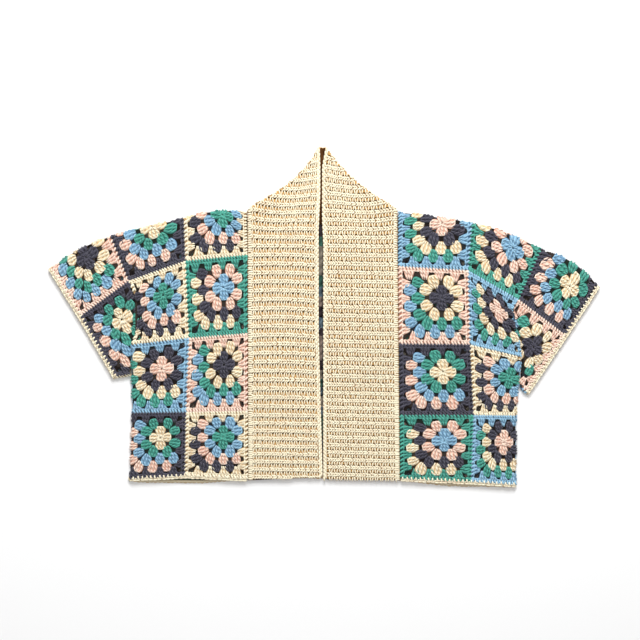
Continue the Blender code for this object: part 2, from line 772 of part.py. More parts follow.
def cuff_edging(side):
    """Plain edging round the open end of a sleeve."""
    points = POINTS[side]
    outward = -1 if side == "left" else 1
    slope = math.radians(SLEEVE_ANGLE[side])
    way = Vector((outward * math.cos(slope), -math.sin(slope), 0))
    top_end = Vector(points["fold"]["cuff"])
    normal = fold_normals(side)["cuff"]
    axis, out, radius = fold_axis(lambda q: top_end, normal, normal)(0)
    low_axis, low_out, low_radius = sleeve_bottom(side)(0 if side == "left" else 1)
    stations = turn_stations(axis, out, radius, way, False)
    stations.append((Vector((*points["front"]["cuff"], FRONT_Z)), UP, way))
    stations += turn_stations(low_axis, low_out, low_radius, way, True)
    for row in ("sleeve back", "back"):
        stations.append((Vector((*points[row]["cuff"], BACK_Z)), -UP, way))
    strip(f"{side}_cuff_edging", stations, True)


def main():
    for old in list(bpy.data.objects):
        bpy.data.objects.remove(old)
    for side in ("left", "right"):
        top_squares(side)
        front_squares(side)
        sleeve_squares(side)
        cuff_edging(side)
    back_squares()
    neckband()
    hem_edging()


main()
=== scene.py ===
"""Boxy cardigan of joined crochet squares, laid flat: the yarn, stitches, colours and light.

X runs across the garment, Y from hem to neck, and Z up. Sizes are millimetres up to the place
where a mesh is made. "left" and "right" are the sides as seen from above. A square has a chart:
u and v run across and up it from 0 to 1, as seen from its outside.
"""
import math

import bpy
import numpy as np
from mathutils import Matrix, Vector
from mathutils.geometry import delaunay_2d_cdt

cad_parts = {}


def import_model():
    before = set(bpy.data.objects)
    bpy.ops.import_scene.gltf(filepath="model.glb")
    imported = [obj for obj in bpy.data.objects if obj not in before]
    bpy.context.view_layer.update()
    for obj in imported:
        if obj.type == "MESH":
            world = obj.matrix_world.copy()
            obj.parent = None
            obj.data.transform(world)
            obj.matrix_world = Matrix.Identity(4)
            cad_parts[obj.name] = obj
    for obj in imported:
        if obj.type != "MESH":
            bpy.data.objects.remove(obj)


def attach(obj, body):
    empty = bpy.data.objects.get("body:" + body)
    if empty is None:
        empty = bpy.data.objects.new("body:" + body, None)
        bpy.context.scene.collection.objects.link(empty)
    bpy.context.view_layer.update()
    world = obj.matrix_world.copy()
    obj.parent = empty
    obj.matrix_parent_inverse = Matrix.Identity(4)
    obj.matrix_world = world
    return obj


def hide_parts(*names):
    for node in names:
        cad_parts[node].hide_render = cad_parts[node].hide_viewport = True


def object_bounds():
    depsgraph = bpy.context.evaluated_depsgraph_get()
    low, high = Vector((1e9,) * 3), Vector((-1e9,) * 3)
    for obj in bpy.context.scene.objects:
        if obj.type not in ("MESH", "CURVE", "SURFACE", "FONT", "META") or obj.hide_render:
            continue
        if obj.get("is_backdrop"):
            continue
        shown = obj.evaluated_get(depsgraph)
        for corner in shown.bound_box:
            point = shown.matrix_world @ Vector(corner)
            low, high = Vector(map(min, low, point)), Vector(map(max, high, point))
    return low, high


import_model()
CAD_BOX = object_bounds()

bl_info = {
    "name": "Crochet cardigan",
    "version": (1, 0, 0),
    "blender": (4, 5, 0),
    "location": "View3D > Sidebar > Cardigan",
    "description": "Makes the squares, ribbed neckband, edging and stage of a cardigan",
    "category": "Add Mesh",
}


MM = 0.001

# The cloth, as the solids have it
WALL = 3.0
LAYER_GAP = 0.6
SEAM = 0.2
SQUARE = 120.0
EDGING = 5.5
GAP = 3.7
BACK_Z = WALL / 2
FRONT_Z = 1.5 * WALL + LAYER_GAP
LAP_RISE = WALL + LAYER_GAP
FOLD_STEPS = 6
UP = Vector((0, 0, 1))
MIDDLE = Vector((0.3, -2.8, 0))
CLEAR = 0.8  # between the end of a sleeve or of the hem and what lies beside it
TINY = 1e-5
CHART_STEP = 0.0001  # small step on a chart, to find its slopes
FOLDED_STEPS = 8  # straight parts of a folded or raised square's edge
PRESSED_BELOW = 0.8  # yarn under this height rests on the floor
PRESSED_SHARE = 0.33  # and keeps this share of its depth below it

# Where seam lines meet: x, y. The rows run fold, front, back (across the top row of squares),
# the seam across the back of the sleeve, then the lines between the rows of the body, and the hem.
POINTS = {
    "left": {
        "fold": {"cuff": (-461, 80), "arm": (-360, 134), "yoke": (-237, 164),
                 "neck": (-131.6, 175)},
        "front": {"cuff": (-411, -1), "arm": (-330, 58), "yoke": (-234, 92), "neck": (-130, 102)},
        "back": {"cuff": (-452, 65), "arm": (-346, 98), "yoke": (-236, 116),
                 "neck": (-131.6, 166)},
        "sleeve back": {"cuff": (-399.5, -20), "arm": (-323, 12)},
        "row 3": {"side": (-325, -49), "inner": (-228, -38), "neck": (-129.6, -30)},
        "row 4": {"side": (-324, -164), "inner": (-233, -163), "neck": (-129.3, -161)},
        "hem": {"side": (-328, -275), "inner": (-235, -270), "neck": (-129, -275)},
        "sleeve": {"tip": (-351, -105), "under": (-262, -62)},
    },
    "right": {
        "fold": {"cuff": (462, 51), "arm": (367, 112), "yoke": (250, 157), "neck": (126.6, 175)},
        "front": {"cuff": (407, -33), "arm": (328, 27), "yoke": (243, 76), "neck": (125.4, 83)},
        "back": {"cuff": (457, 43), "arm": (360, 97.5), "yoke": (248, 112), "neck": (126.6, 166)},
        "sleeve back": {"cuff": (402, -40.5), "arm": (329.6, 9.8)},
        "row 3": {"side": (332, -69), "inner": (246, -49), "neck": (126.7, -48)},
        "row 4": {"side": (324, -169), "inner": (252, -168), "neck": (127.9, -168)},
        "hem": {"side": (324, -285), "inner": (248, -280), "neck": (128.9, -275)},
        "sleeve": {"tip": (341, -131), "under": (245, -67)},
    },
}
# How far the seam lines bow, to the left of their direction
FOLD_BOW = {  # by the outer end of each top square
    "left": {"cuff": 6, "arm": 1.5, "yoke": 7},
    "right": {"cuff": 10, "arm": 5, "yoke": 1},
}
# The side edge over the sleeve: its bow, and a power that moves the middle of the bow upwards
BODY_EDGE_BOW = {"left": (-13.5, 1), "right": (11.0, 3)}
SLEEVE_BOTTOM_BOW = {"left": -10, "right": 0}
SLEEVE_ANGLE = {"left": 35.0, "right": 41.7}  # slope of the sleeve, degrees

# The side of the body over the sleeve: x where it lies flat again, x and y where it is fully
# raised, and y where it starts and ends.
LAP = {
    "left": {"flat x": -255, "raised x": -296, "top y": (58, 46), "low y": (-60, -125)},
    "right": {"flat x": 262, "raised x": 303, "top y": (27, 15), "low y": (-80, -145)},
}
# The end of the sleeve under that side: x of the hidden edge, its top and low y, the x of the
# body's fold just below it, and the y where that fold begins
TUCK = {
    "left": {"hidden x": -301, "top y": 22, "low y": -35, "fold x": -327.8, "fold y": -47.4},
    "right": {"hidden x": 309, "top y": -10, "low y": -55, "fold x": 334.2, "fold y": -66.5},
}
TUCK_EDGE = 14.0  # length of its edge along the end of the body's fold
# Shares of the body's side seam, from low to high, that the sleeve lies beside or under
BESIDE_SLEEVE = (0.99, 0.93, 0.86)
BEHIND_SLEEVE = (0.02, 0.25, 0.5, 0.75, 0.99)
SLEEVE_TOP = 0.98  # share of the sleeve's top seam that its lower front reaches

# Columns of the back: x, y at the top, x from row 3 down, y at the hem
BACK_COLUMNS = (
    (-346, 98, -309, -277),
    (-236, 116, -206, -278),
    (-131.6, 166, -103, -270),
    (-2, 153, -2, -270),
    (126.6, 166, 103, -271),
    (248, 112, 208, -283),
    (360, 97.5, 311, -285),
)
BACK_ROWS = (0.0, 0.37, 0.685, 1.0)  # the lines between its rows, as shares of its height

# Neckband: y, x of the free edge. The seam edges are straight.
BAND_FREE = {
    "left": ((-273, -2.6), (-261, -2.6), (-25, -9), (144, -9), (205, -6.3), (250, -6.3),
             (285, -7.5)),
    "right": ((-276, -1.2), (-261, -1.2), (120, -1.2), (160, -3.2), (250, -3.2), (285, 3)),
}
BAND_SEAM = {"left": ((-128.5, -278), (-129.4, 175)), "right": ((128.4, -278), (123.9, 175))}
BAND_NECK = (-2, 153.6)  # middle of the seam at the back of the neck
BAND_PEAK_BACK = (-2, 282)  # middle of the free edge at the back of the neck
BAND_DIP = {"left": 10.5, "right": 8.0}  # how far its fold curves in from the straight line
BAND_BULGE = 2.5  # and out again beside the neck seam
DIP_START, DIP_END = 0.15, 0.84  # shares of the way from the peak to the neck seam
DIP_REACH = 45.0  # how far down the front the cloth follows the curve
BAND_REACH = 400.0  # longer than any line across the band
FOLD_POINTS = 44  # on such a line along the fold

# Gaps between the clusters that go right through, in shares of a square's side
FLOWER = 0.61
FLOWER_GAPS = tuple((FLOWER + a, FLOWER + b) for a in (-0.08, 0.08) for b in (-0.08, 0.08))
CORNER_GAPS = ((0.07, 0.86), (0.93, 0.93), (0.12, 0.07), (0.93, 0.09))
HIDDEN_SIDE_GAPS = FLOWER_GAPS + CORNER_GAPS[:2]
SHOWN_SIDE_GAPS = FLOWER_GAPS + CORNER_GAPS
# Where the flower is pulled to in the squares that lie stretched: across, up
PULLED_FLOWERS = {
    "left_sleeve_top": (0.53, 0.59),
    "left_shoulder_outer": (0.56, 0.62),
    "left_shoulder_inner": (0.63, 0.66),
    "left_side_2": (0.586, 0.65),
    "left_sleeve_front": (0.58, 0.66),
    "right_sleeve_top": (0.65, 0.55),
    "right_shoulder_outer": (0.63, 0.58),
    "right_shoulder_inner": (0.59, 0.66),
    "right_side_2": (0.57, 0.67),
    "right_sleeve_front": (0.69, 0.58),
}
ROLLED_EDGE = 0.12  # share of a second-row square that is rolled under over the sleeve
ROLLED = {"left_side_2": -1, "right_side_2": 1}  # on which of its sides

# Clusters of three double crochets, from the flower outwards, measured from the middle of the
# flower in sides of the square: x, y, and the way that the cluster points, in degrees
CLUSTERS = (
    ((0, 0.092, 90), (0.092, 0, 0), (0, -0.092, -90), (-0.092, 0, 180)),
    (
        (0.105, 0.212, 80), (-0.105, 0.212, 100), (0.215, 0.1, 10), (0.215, -0.1, -10),
        (-0.215, 0.1, 170), (-0.215, -0.1, 190), (0.105, -0.212, -80), (-0.105, -0.212, -100),
    ),
    (
        (-0.335, 0.195, 168), (-0.33, -0.012, 180), (-0.315, -0.218, 196),
        (-0.205, -0.33, -106), (0.0, -0.33, -90), (0.205, -0.32, -82),
    ),
    (
        (-0.44, 0.09, 176), (-0.44, -0.12, 182), (-0.425, -0.325, 196),
        (-0.315, -0.432, -106), (-0.105, -0.44, -92), (0.105, -0.435, -88),
    ),
    (
        (-0.505, 0.165, 180), (-0.505, -0.035, 180), (-0.505, -0.235, 180), (-0.505, -0.42, 180),
        (-0.39, -0.505, -90), (-0.19, -0.505, -90), (0.01, -0.505, -90), (0.21, -0.505, -90),
        (-0.45, 0.292, 90), (-0.24, 0.292, 90), (-0.02, 0.292, 90), (0.2, 0.292, 90),
        (0.292, 0.2, 0), (0.292, -0.01, 0), (0.292, -0.22, 0), (0.292, -0.42, 0),
    ),
)
# Form of a cluster of each round: length and width in sides of the square, and its width at
# its foot, below its middle, above it, near its top and at its top, as shares of the width
FORM_SHARES = (0.0, 0.12, 0.36, 0.64, 0.86, 1.0)
CLUSTER_FORMS = (
    (0.172, 0.166, (0.2, 0.42, 0.82, 1.0, 0.94, 0.56)),
    (0.176, 0.16, (0.34, 0.62, 0.9, 1.0, 0.92, 0.54)),
    (0.176, 0.16, (0.36, 0.64, 0.9, 1.0, 0.92, 0.54)),
    (0.18, 0.158, (0.36, 0.64, 0.9, 1.0, 0.92, 0.54)),
    (0.136, 0.186, (0.34, 0.44, 0.58, 0.7, 0.86, 1.0)),
)
# Shade of a cluster's yarn, from 0 on top to 1: on its dome, between two posts, in a pit there
# and round its edge
DOME_SHADE, GROOVE_SHADE, PIT_SHADE, RIM_SHADE = 0.3, 0.75, 1.0, 0.95
PIT_DROP = 1.8  # how far a pit of full shade would lie below a dome without any
STITCH_BULGE = np.array((0.5, 0.85, 1.0, 0.85, 0.5))  # thickness along one stitch of an edge

# Stitches along the edges of a square: low, left, top, right
EDGE_COUNTS = (21, 16, 21, 16)
# A strand over the seam and one of the chain beside it: places along the edge in stitches, off
# it in sides of the square, heights, and thickness
SEAM_STITCH = ((-0.42, -0.26, 0, 0.26, 0.4), (0.05, 0.038, 0.018, -0.002, -0.012),
               (0.7, 1.7, 2.3, 2.0, 1.2), 1.0)
CHAIN_STITCH = ((-0.6, -0.35, 0, 0.35, 0.6), (0.044, 0.047, 0.049, 0.047, 0.044),
                (0.7, 1.6, 2.0, 1.6, 0.7), 0.72)

# Yarn of the five rounds, from the flower out to the edge, and where each begins
ROUND_STARTS = (0.0, 0.155, 0.28, 0.385, 0.49)
ROUNDS = {
    "green": ("blue", "blush", "slate", "cream", "green"),
    "cream": ("green", "blue", "blush", "slate", "cream"),
    "slate": ("cream", "green", "blue", "blush", "slate"),
    "blush": ("slate", "cream", "green", "blue", "blush"),
    "blue": ("blush", "slate", "cream", "green", "blue"),
}
TOP_ROW = {
    "left": {"sleeve_top": "blush", "shoulder_outer": "slate", "shoulder_inner": "cream"},
    "right": {"sleeve_top": "slate", "shoulder_outer": "green", "shoulder_inner": "blue"},
}
FRONT_ROWS = {
    "left": {"side": ("cream", "blue", "slate"), "inner": ("green", "blush", "cream")},
    "right": {"side": ("blue", "cream", "blue"), "inner": ("blush", "slate", "green")},
}
SLEEVE_LOW = {  # lower front, lower back, upper back
    "left": ("slate", "cream", "green"),
    "right": ("blush", "blue", "cream"),
}
BACK_EDGES = (
    ("blue", "green", "slate", "cream", "blush", "green"),
    ("cream", "blush", "blue", "green", "slate", "cream"),
    ("green", "slate", "cream", "blush", "blue", "blush"),
)
YARN_NAMES = ("cream", "green", "blue", "slate", "blush")
# Rows of the neckband: numbers from its lower end, and their y
BAND_ROWS = {
    "left": ((-2, 7, 28, 37, 49), (-290, -173, 143, 275, 450)),
    "right": ((-2, 11, 25, 38, 50), (-290, -127, 77, 271, 450)),
}
FIRST_POST, LAST_POST, POST_PITCH = 8.6, 5.0, 4.3  # of a row: from its seam, its end, apart
RIDGE_SPREAD = (-2.7, -1.7, 0.0, 1.7, 2.7)  # of a strand along its ridge
RIDGE_PHASES = ((0.07, 0.12, 0.21, 0.30, 0.35), (0.57, 0.53, 0.45, 0.37, 0.32))  # across it
RIB_WAVE = 12.57  # two waves to a row of the band, on its inner face

# Edging: the cloth under its teeth, how far apart they are, and for each strand of a tooth its
# places along the edge, off the seam, heights, and thickness
EDGING_CLOTH = EDGING - 1.2
TOOTH_PITCH = 7.2
TOOTH_STRANDS = (
    ((-0.6, -0.3, 0.1, 0.4, 0.6), (-4.2, -2.6, 0.2, 2.6, 3.6), (1.0, 2.6, 2.6, 1.8, 0.9), 0.95),
    ((-4.4, -2.8, 0, 2.8, 4.4), (2.9, 3.6, 3.9, 3.6, 2.9), (0.5, 1.2, 1.5, 1.2, 0.5), 0.98),
    ((-0.8, 1.0, 3.6, 6.2, 8.0), (1.2, 1.0, 0.8, 1.0, 1.2), (0.6, 1.4, 1.7, 1.4, 0.6), 0.8),
)

# Heights from the middle of the wall, outwards
CLOTH_OUT = 0.5
CLOTH_IN = 1.0
RING = 0.05  # width of the plain edge round a square, in its sides
RING_DEPTH = 0.9  # how deep in shade the cloth under the edge stitches is
EDGING_DEPTH = 0.4  # and the cloth of the edging
STRAND_FLAT = 0.85  # height of a strand's section, as a share of its width

# Creases of the flat garment: x, y of both ends, half width and height
CREASES = (
    (-300, 62, -190, 20, 16, 1.6),
    (-232, 150, -150, 92, 14, 1.3),
    (-315, -150, -200, -190, 18, 1.1),
    (300, 30, 205, -20, 17, 1.7),
    (255, 140, 170, 60, 15, 1.3),
    (300, -150, 190, -120, 18, 1.0),
    (-95, 205, -30, 120, 15, 1.4),
    (95, 190, 35, 95, 16, 1.2),
    (-420, 40, -370, 85, 13, 1.2),
    (420, 20, 360, 60, 14, 1.2),
    (-100, -120, -30, -160, 22, 0.9),
    (105, -60, 30, -100, 22, 0.9),
    (-60, -240, -180, -225, 20, 0.8),
    (60, -235, 190, -250, 20, 0.8),
)


def crease_rise(points):
    """How far the creases lift points of the garment, x and y in millimetres."""
    rise = np.zeros(len(points))
    for x0, y0, x1, y1, width, height in CREASES:
        start, way = np.array((x0, y0), float), np.array((x1 - x0, y1 - y0), float)
        along = ((points[:, :2] - start) @ way) / (way @ way)
        nearest = start + np.clip(along, 0, 1)[:, None] * way
        away = np.linalg.norm(points[:, :2] - nearest, axis=1)
        rise += height * np.exp(-((away / width) ** 2))
    return rise


def settle(points):
    """The yarn that rests on the floor is pressed flat, and the creases lift the cloth."""
    points = points.copy()
    under = points[:, 2] < PRESSED_BELOW
    points[under, 2] = PRESSED_BELOW - (PRESSED_BELOW - points[under, 2]) * PRESSED_SHARE
    points[:, 2] += crease_rise(points)
    return points


def in_metres(points):
    """Settled points of the garment, in metres from its middle."""
    return (settle(points) - np.array(MIDDLE)) * MM


def smooth(start, end, x):
    """0 at start, 1 at end, and a smooth rise between them."""
    share = min(max((x - start) / (end - start), 0.0), 1.0)
    return share * share * (3 - 2 * share)


def flat_cloth(point):
    """No rise anywhere."""
    return 0.0


def lap_rise(side):
    """How far the body's side rises over the sleeve that it lies on, at a point."""
    lap = LAP[side]

    def rise(point):
        across = smooth(lap["flat x"], lap["raised x"], point[0])
        from_top = smooth(lap["top y"][0], lap["top y"][1], point[1])
        from_low = smooth(lap["low y"][1], lap["low y"][0], point[1])
        return LAP_RISE * across * from_top * from_low

    return rise


def line(start, end, bow=0.0):
    """A seam line from start to end that bows to its left, as a function of 0 to 1."""
    start, end = Vector(start), Vector(end)
    left = Vector((start.y - end.y, end.x - start.x)).normalized()
    return lambda t: start.lerp(end, t) + left * (4 * bow * t * (1 - t))


def flat_piece(bottom, top, left, right, height, outside, rise=flat_cloth):
    """Cloth between four seam lines: the middle of the wall and its outward side at u, v."""

    def place(u, v):
        ruled = bottom(u) * (1 - v) + top(u) * v + left(v) * (1 - u) + right(v) * u
        low = bottom(0) * (1 - u) + bottom(1) * u
        high = top(0) * (1 - u) + top(1) * u
        point = ruled - low * (1 - v) - high * v
        return Vector((point.x, point.y, height + rise(point))), outside

    return place


def fold_axis(outline, out_start, out_end, rise=flat_cloth):
    """The axis of a rolled fold whose outside reaches the outline: axis point, out, radius."""
    out_start, out_end = Vector(out_start).normalized(), Vector(out_end).normalized()

    def at(q):
        out = out_start.lerp(out_end, q).normalized()
        reach = outline(q)
        radius = (FRONT_Z + rise(reach) - BACK_Z) / 2
        return reach - out * (radius + WALL / 2), out, radius

    return at


def round_fold(axis, out, radius, turn, sunk=0.0):
    """The middle of the wall at a turn round a fold, sunk towards its axis, and its out."""
    spot = axis + out * (radius * math.sin(turn) - sunk)
    side = out * math.sin(turn)
    height = BACK_Z + radius * (1 + math.cos(turn))
    return Vector((spot.x, spot.y, height)), Vector((side.x, side.y, math.cos(turn)))


def fold_lengths(front, fold, back, q):
    """Cloth before, round and after the fold, at q along it."""
    axis, _, radius = fold(q)
    return (axis - front(q)).length, math.pi * radius, (back(q) - axis).length


def folded_piece(front, fold, back, rise=flat_cloth):
    """Cloth from the line front, round the fold, to the line back: p across it, q along it."""

    def place(p, q):
        before, around, after = fold_lengths(front, fold, back, q)
        axis, out, radius = fold(q)
        run = p * (before + around + after) - before
        if run <= 0:
            point = axis.lerp(front(q), -run / before) if before else axis
            return Vector((point.x, point.y, FRONT_Z + rise(point))), UP
        if run < around:
            return round_fold(axis, out, radius, run / radius)
        point = axis.lerp(back(q), (run - around) / after)
        return Vector((point.x, point.y, BACK_Z)), -UP

    return place


def fold_share(front, fold, back, q, step):
    """p of one facet line of the fold at q, step 0 being where the fold begins."""
    before, around, after = fold_lengths(front, fold, back, q)
    return (before + around * step / FOLD_STEPS) / (before + around + after)


def facet_lines(front, fold, back):
    """The facet lines of a fold on its chart: places across it and along it."""
    ticks = [i / FOLDED_STEPS for i in range(FOLDED_STEPS + 1)]
    return [
        [(fold_share(front, fold, back, q, step), q) for q in ticks]
        for step in range(FOLD_STEPS + 1)
    ]


def chart_point(place, x, y, guess):
    """u, v of the point of a piece that lies at x, y."""
    u, v = guess
    for _ in range(30):
        here = place(u, v)[0]
        along, up = place(u + CHART_STEP, v)[0], place(u, v + CHART_STEP)[0]
        a, b = (along.x - here.x) / CHART_STEP, (up.x - here.x) / CHART_STEP
        c, d = (along.y - here.y) / CHART_STEP, (up.y - here.y) / CHART_STEP
        det = a * d - b * c
        ex, ey = x - here.x, y - here.y
        u = min(max(u + (d * ex - b * ey) / det, 0.0), 1.0)
        v = min(max(v + (a * ey - c * ex) / det, 0.0), 1.0)
    return u, v


def inside(point, loop):
    """Whether a point of the plane is inside a loop of points."""
    crossed = False
    for a, b in zip(loop, loop[1:] + loop[:1]):
        if (a[1] > point[1]) != (b[1] > point[1]):
            if point[0] < a[0] + (b[0] - a[0]) * (point[1] - a[1]) / (b[1] - a[1]):
                crossed = not crossed
    return crossed


def triangles_of(outline, gaps=(), lines=(), dots=()):
    """Triangles of a flat outline without its gaps, with edges along the lines."""
    points, edges = [], []

    def add(path, closed):
        first = len(points)
        points.extend(Vector(p) for p in path)
        last = len(points)
        edges.extend((i, i + 1) for i in range(first, last - 1))
        if closed:
            edges.append((last - 1, first))

    add(outline, True)
    for loop in gaps:
        add(loop, True)
    for path in lines:
        add(path, False)
    points.extend(Vector(p) for p in dots)
    made, _, faces, *_ = delaunay_2d_cdt(points, edges, [], 0, TINY)
    kept = []
    for a, b, c in faces:
        a, b, c = made[a], made[b], made[c]
        area = (b - a).cross(c - a) / 2
        middle = (a + b + c) / 3
        if abs(area) < TINY or not inside(middle, outline):
            continue
        if not any(inside(middle, loop) for loop in gaps):
            kept.append((a, b, c) if area > 0 else (a, c, b))
    return kept


# ---------------------------------------------------------------- cloth surfaces and yarn


class Surface:
    """The middle of a piece's cloth, read from its place at a grid of its chart."""

    def __init__(self, place, counts, lows=(0.0, 0.0), highs=(1.0, 1.0)):
        self.low = np.array(lows, float)
        self.step = (np.array(highs, float) - self.low) / counts
        columns = [self.low[0] + self.step[0] * i for i in range(counts[0] + 1)]
        rows = [self.low[1] + self.step[1] * j for j in range(counts[1] + 1)]
        grid = [[place(x, y) for y in rows] for x in columns]
        self.middle = np.array([[tuple(spot[0]) for spot in column] for column in grid])
        self.out = np.array([[tuple(spot[1]) for spot in column] for column in grid])

    def at(self, xs, ys, lift):
        """Points at that height over the middle of the cloth, and its outward directions."""
        x = (xs - self.low[0]) / self.step[0]
        y = (ys - self.low[1]) / self.step[1]
        i = np.clip(np.floor(x).astype(int), 0, self.middle.shape[0] - 2)
        j = np.clip(np.floor(y).astype(int), 0, self.middle.shape[1] - 2)
        x, y = (x - i)[..., None], (y - j)[..., None]

        def blend(grid):
            low = grid[i, j] * (1 - x) + grid[i + 1, j] * x
            high = grid[i, j + 1] * (1 - x) + grid[i + 1, j + 1] * x
            return low * (1 - y) + high * y

        out = blend(self.out)
        out /= np.maximum(np.linalg.norm(out, axis=-1, keepdims=True), TINY)
        return blend(self.middle) + out * np.asarray(lift)[..., None], out


class Yarn:
    """Strands and mounds of yarn that become one mesh."""

    def __init__(self, seed):
        self.points, self.faces, self.slots, self.maps = [], [], [], []
        # tones: random tone of each point; depths: painted shade of each point, from 0 none to 1
        # full
        self.tones, self.depths = [], []
        self.count = 0
        self.random = np.random.default_rng(seed)

    def keep(self, points, faces, maps, slots, tones, depths):
        """Takes in n like forms: faces and maps are those of one, slots and tones one each."""
        n, size = points.shape[:2]
        firsts = self.count + size * np.arange(n)
        for face in faces:
            self.faces.append(firsts[:, None] + np.array(face))
            self.slots.append(np.broadcast_to(slots, (n,)))
        self.maps.extend(maps)
        self.points.append(points.reshape(-1, 3))
        self.tones.append(np.repeat(np.broadcast_to(tones, (n,)), size))
        self.depths.append(np.broadcast_to(depths, (n, size)).reshape(-1))
        self.count += n * size

    def strands(self, path, out, radius, slots=0, sides=5, tones=None, depth=0.0):
        """Like strands with pointed ends: path and out are n by k by 3, radius n by k or less."""
        n, k = path.shape[:2]
        if n == 0:
            return
        radius = np.broadcast_to(np.asarray(radius, float), (n, k))
        along = np.gradient(path, axis=1)
        along /= np.maximum(np.linalg.norm(along, axis=2, keepdims=True), TINY)
        across = np.cross(along, out)
        across /= np.maximum(np.linalg.norm(across, axis=2, keepdims=True), TINY)
        out = np.cross(across, along)
        turn = 2 * math.pi * (np.arange(sides) + 0.5) / sides
        ring = np.cos(turn)[:, None] * across[:, 1:-1, None, :]
        ring = ring + STRAND_FLAT * np.sin(turn)[:, None] * out[:, 1:-1, None, :]
        rings = path[:, 1:-1, None, :] + radius[:, 1:-1, None, None] * ring
        points = np.concatenate([path[:, :1], rings.reshape(n, -1, 3), path[:, -1:]], axis=1)
        run = np.linalg.norm(np.diff(path[0], axis=0), axis=1).cumsum() * MM
        faces, maps, last = [], [], (k - 2) * sides + 1
        for s in range(sides):
            t = (s + 1) % sides
            low, high = s / sides, (s + 1) / sides
            faces.append((0, 1 + s, 1 + t))
            maps.append(((0, low), (run[0], low), (run[0], high)))
            for i in range(k - 3):
                a, b = 1 + i * sides, 1 + (i + 1) * sides
                faces.append((a + t, a + s, b + s, b + t))
                maps.append(((run[i], high), (run[i], low), (run[i + 1], low), (run[i + 1], high)))
            faces.append((last, last - sides + t, last - sides + s))
            maps.append(((run[-1], low), (run[-2], high), (run[-2], low)))
        # Painted shade on each strand: none on its top, full on its underside, 0.8 at its pointed
        # ends
        shade = 0.5 - 0.5 * np.sin(turn)
        shade = np.concatenate([[0.8], np.tile(shade, k - 2), [0.8]])
        if tones is None:
            tones = self.random.random(n)
        everywhere = [map_of for map_of in maps for _ in range(n)]
        self.keep(points, faces, everywhere, slots, tones, np.clip(shade + depth, 0, 1))

    def mounds(self, points, slots, tones, depth):
        """Like domes: points are n by rows by columns by 3."""
        n, rows, columns = points.shape[:3]
        faces, maps = [], []
        for i in range(rows - 1):
            for j in range(columns - 1):
                a = i * columns + j
                faces.append((a, a + columns, a + columns + 1, a + 1))
                x, y = 0.004 * i, j / columns
                maps.append(((x, y), (x + 0.004, y), (x + 0.004, y + 0.2), (x, y + 0.2)))
        everywhere = [map_of for map_of in maps for _ in range(n)]
        self.keep(points.reshape(n, -1, 3), faces, everywhere, slots, tones, depth)

    def build(self, name, materials):
        """The joined mesh of all strands, in metres."""
        points = in_metres(np.concatenate(self.points))
        faces = [tuple(face) for group in self.faces for face in group.tolist()]
        return make_piece(name, points, faces, materials, np.concatenate(self.slots), self.maps,
                          np.concatenate(self.tones), np.concatenate(self.depths))


def make_piece(name, points, faces, materials, slots, maps, tones=None, depths=None):
    """A named mesh with its materials, chart and shades, riding on the garment."""
    mesh = bpy.data.meshes.new(name)
    mesh.from_pydata(points.tolist(), [], faces)
    for material in materials:
        mesh.materials.append(material)
    mesh.polygons.foreach_set("material_index", np.array(slots, np.int32))
    mesh.polygons.foreach_set("use_smooth", np.ones(len(mesh.polygons), bool))
    chart = mesh.uv_layers.new(name="chart")
    flat = np.array([x for face in maps for spot in face for x in spot], np.float32)
    chart.data.foreach_set("uv", flat)
    for label, values in (("tone", tones), ("depth", depths)):
        if values is not None:
            layer = mesh.attributes.new(label, "FLOAT", "POINT")
            layer.data.foreach_set("value", np.asarray(values, np.float32))
    mesh.update()
    piece = bpy.data.objects.new(name, mesh)
    bpy.context.scene.collection.objects.link(piece)
    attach(piece, "root")
    return piece


def cloth_sheet(name, sheets, materials, chart_of, ring_of=None):
    """One closed shell inside the solid's wall: (triangles, place) pairs. Its flat area too."""
    index, outer, inner, chart, faces, uses = {}, [], [], [], [], {}
    ringed, area = [], 0.0
    for number, (triangles, place) in enumerate(sheets):
        for triangle in triangles:
            corners, spots = [], []
            for spot in triangle:
                middle, out = place(spot.x, spot.y)
                spots.append(middle)
                key = tuple(round(x * 100) for x in middle)
                if key not in index:
                    index[key] = len(outer)
                    outer.append(middle + out * CLOTH_OUT)
                    inner.append(middle - out * CLOTH_IN)
                    chart.append(chart_of(number, spot.x, spot.y))
                corners.append(index[key])
            if len(set(corners)) == 3:
                faces.append(tuple(corners))
                a, b, c = spots
                area += (b - a).cross(c - a).length / 2
                middle = (triangle[0] + triangle[1] + triangle[2]) / 3
                ringed.append(bool(ring_of and ring_of(middle)))
    for face in faces:
        for a, b in zip(face, face[1:] + face[:1]):
            uses[(a, b)] = uses.get((a, b), 0) + 1
    n = len(outer)
    rims = [(b, a, a + n, b + n) for a, b in uses if (b, a) not in uses]
    solid = list(faces) + [(c + n, b + n, a + n) for a, b, c in faces] + rims
    slots = [0 if ring else 1 for ring in ringed] + [2] * len(faces) + [0] * len(rims)
    maps = [tuple(chart[i % n] for i in face) for face in solid]
    points = in_metres(np.array([tuple(p) for p in outer + inner]))
    piece = make_piece(name, points, solid, materials, slots, maps, depths=[RING_DEPTH] * 2 * n)
    return piece, area * MM * MM


# ---------------------------------------------------------------- squares


def pulled(share, flower):
    """Place on a stretched square of a share of an even one."""
    share = np.asarray(share, float)
    high = 1 - (1 - share) * (1 - flower) / (1 - FLOWER)
    return np.where(share < FLOWER, share * flower / FLOWER, high)


def unpulled(share, flower):
    """Share of an even square that a place on a stretched one had."""
    if share < flower:
        return share * FLOWER / flower
    return 1 - (1 - share) * (1 - FLOWER) / (1 - flower)


def rolled_share(v):
    """How much of the even chart is rolled under beside the sleeve, at v."""
    low, high = np.clip((v - 0.08) / 0.2, 0, 1), np.clip((0.93 - v) / 0.2, 0, 1)
    return ROLLED_EDGE * low * low * (3 - 2 * low) * high * high * (3 - 2 * high)


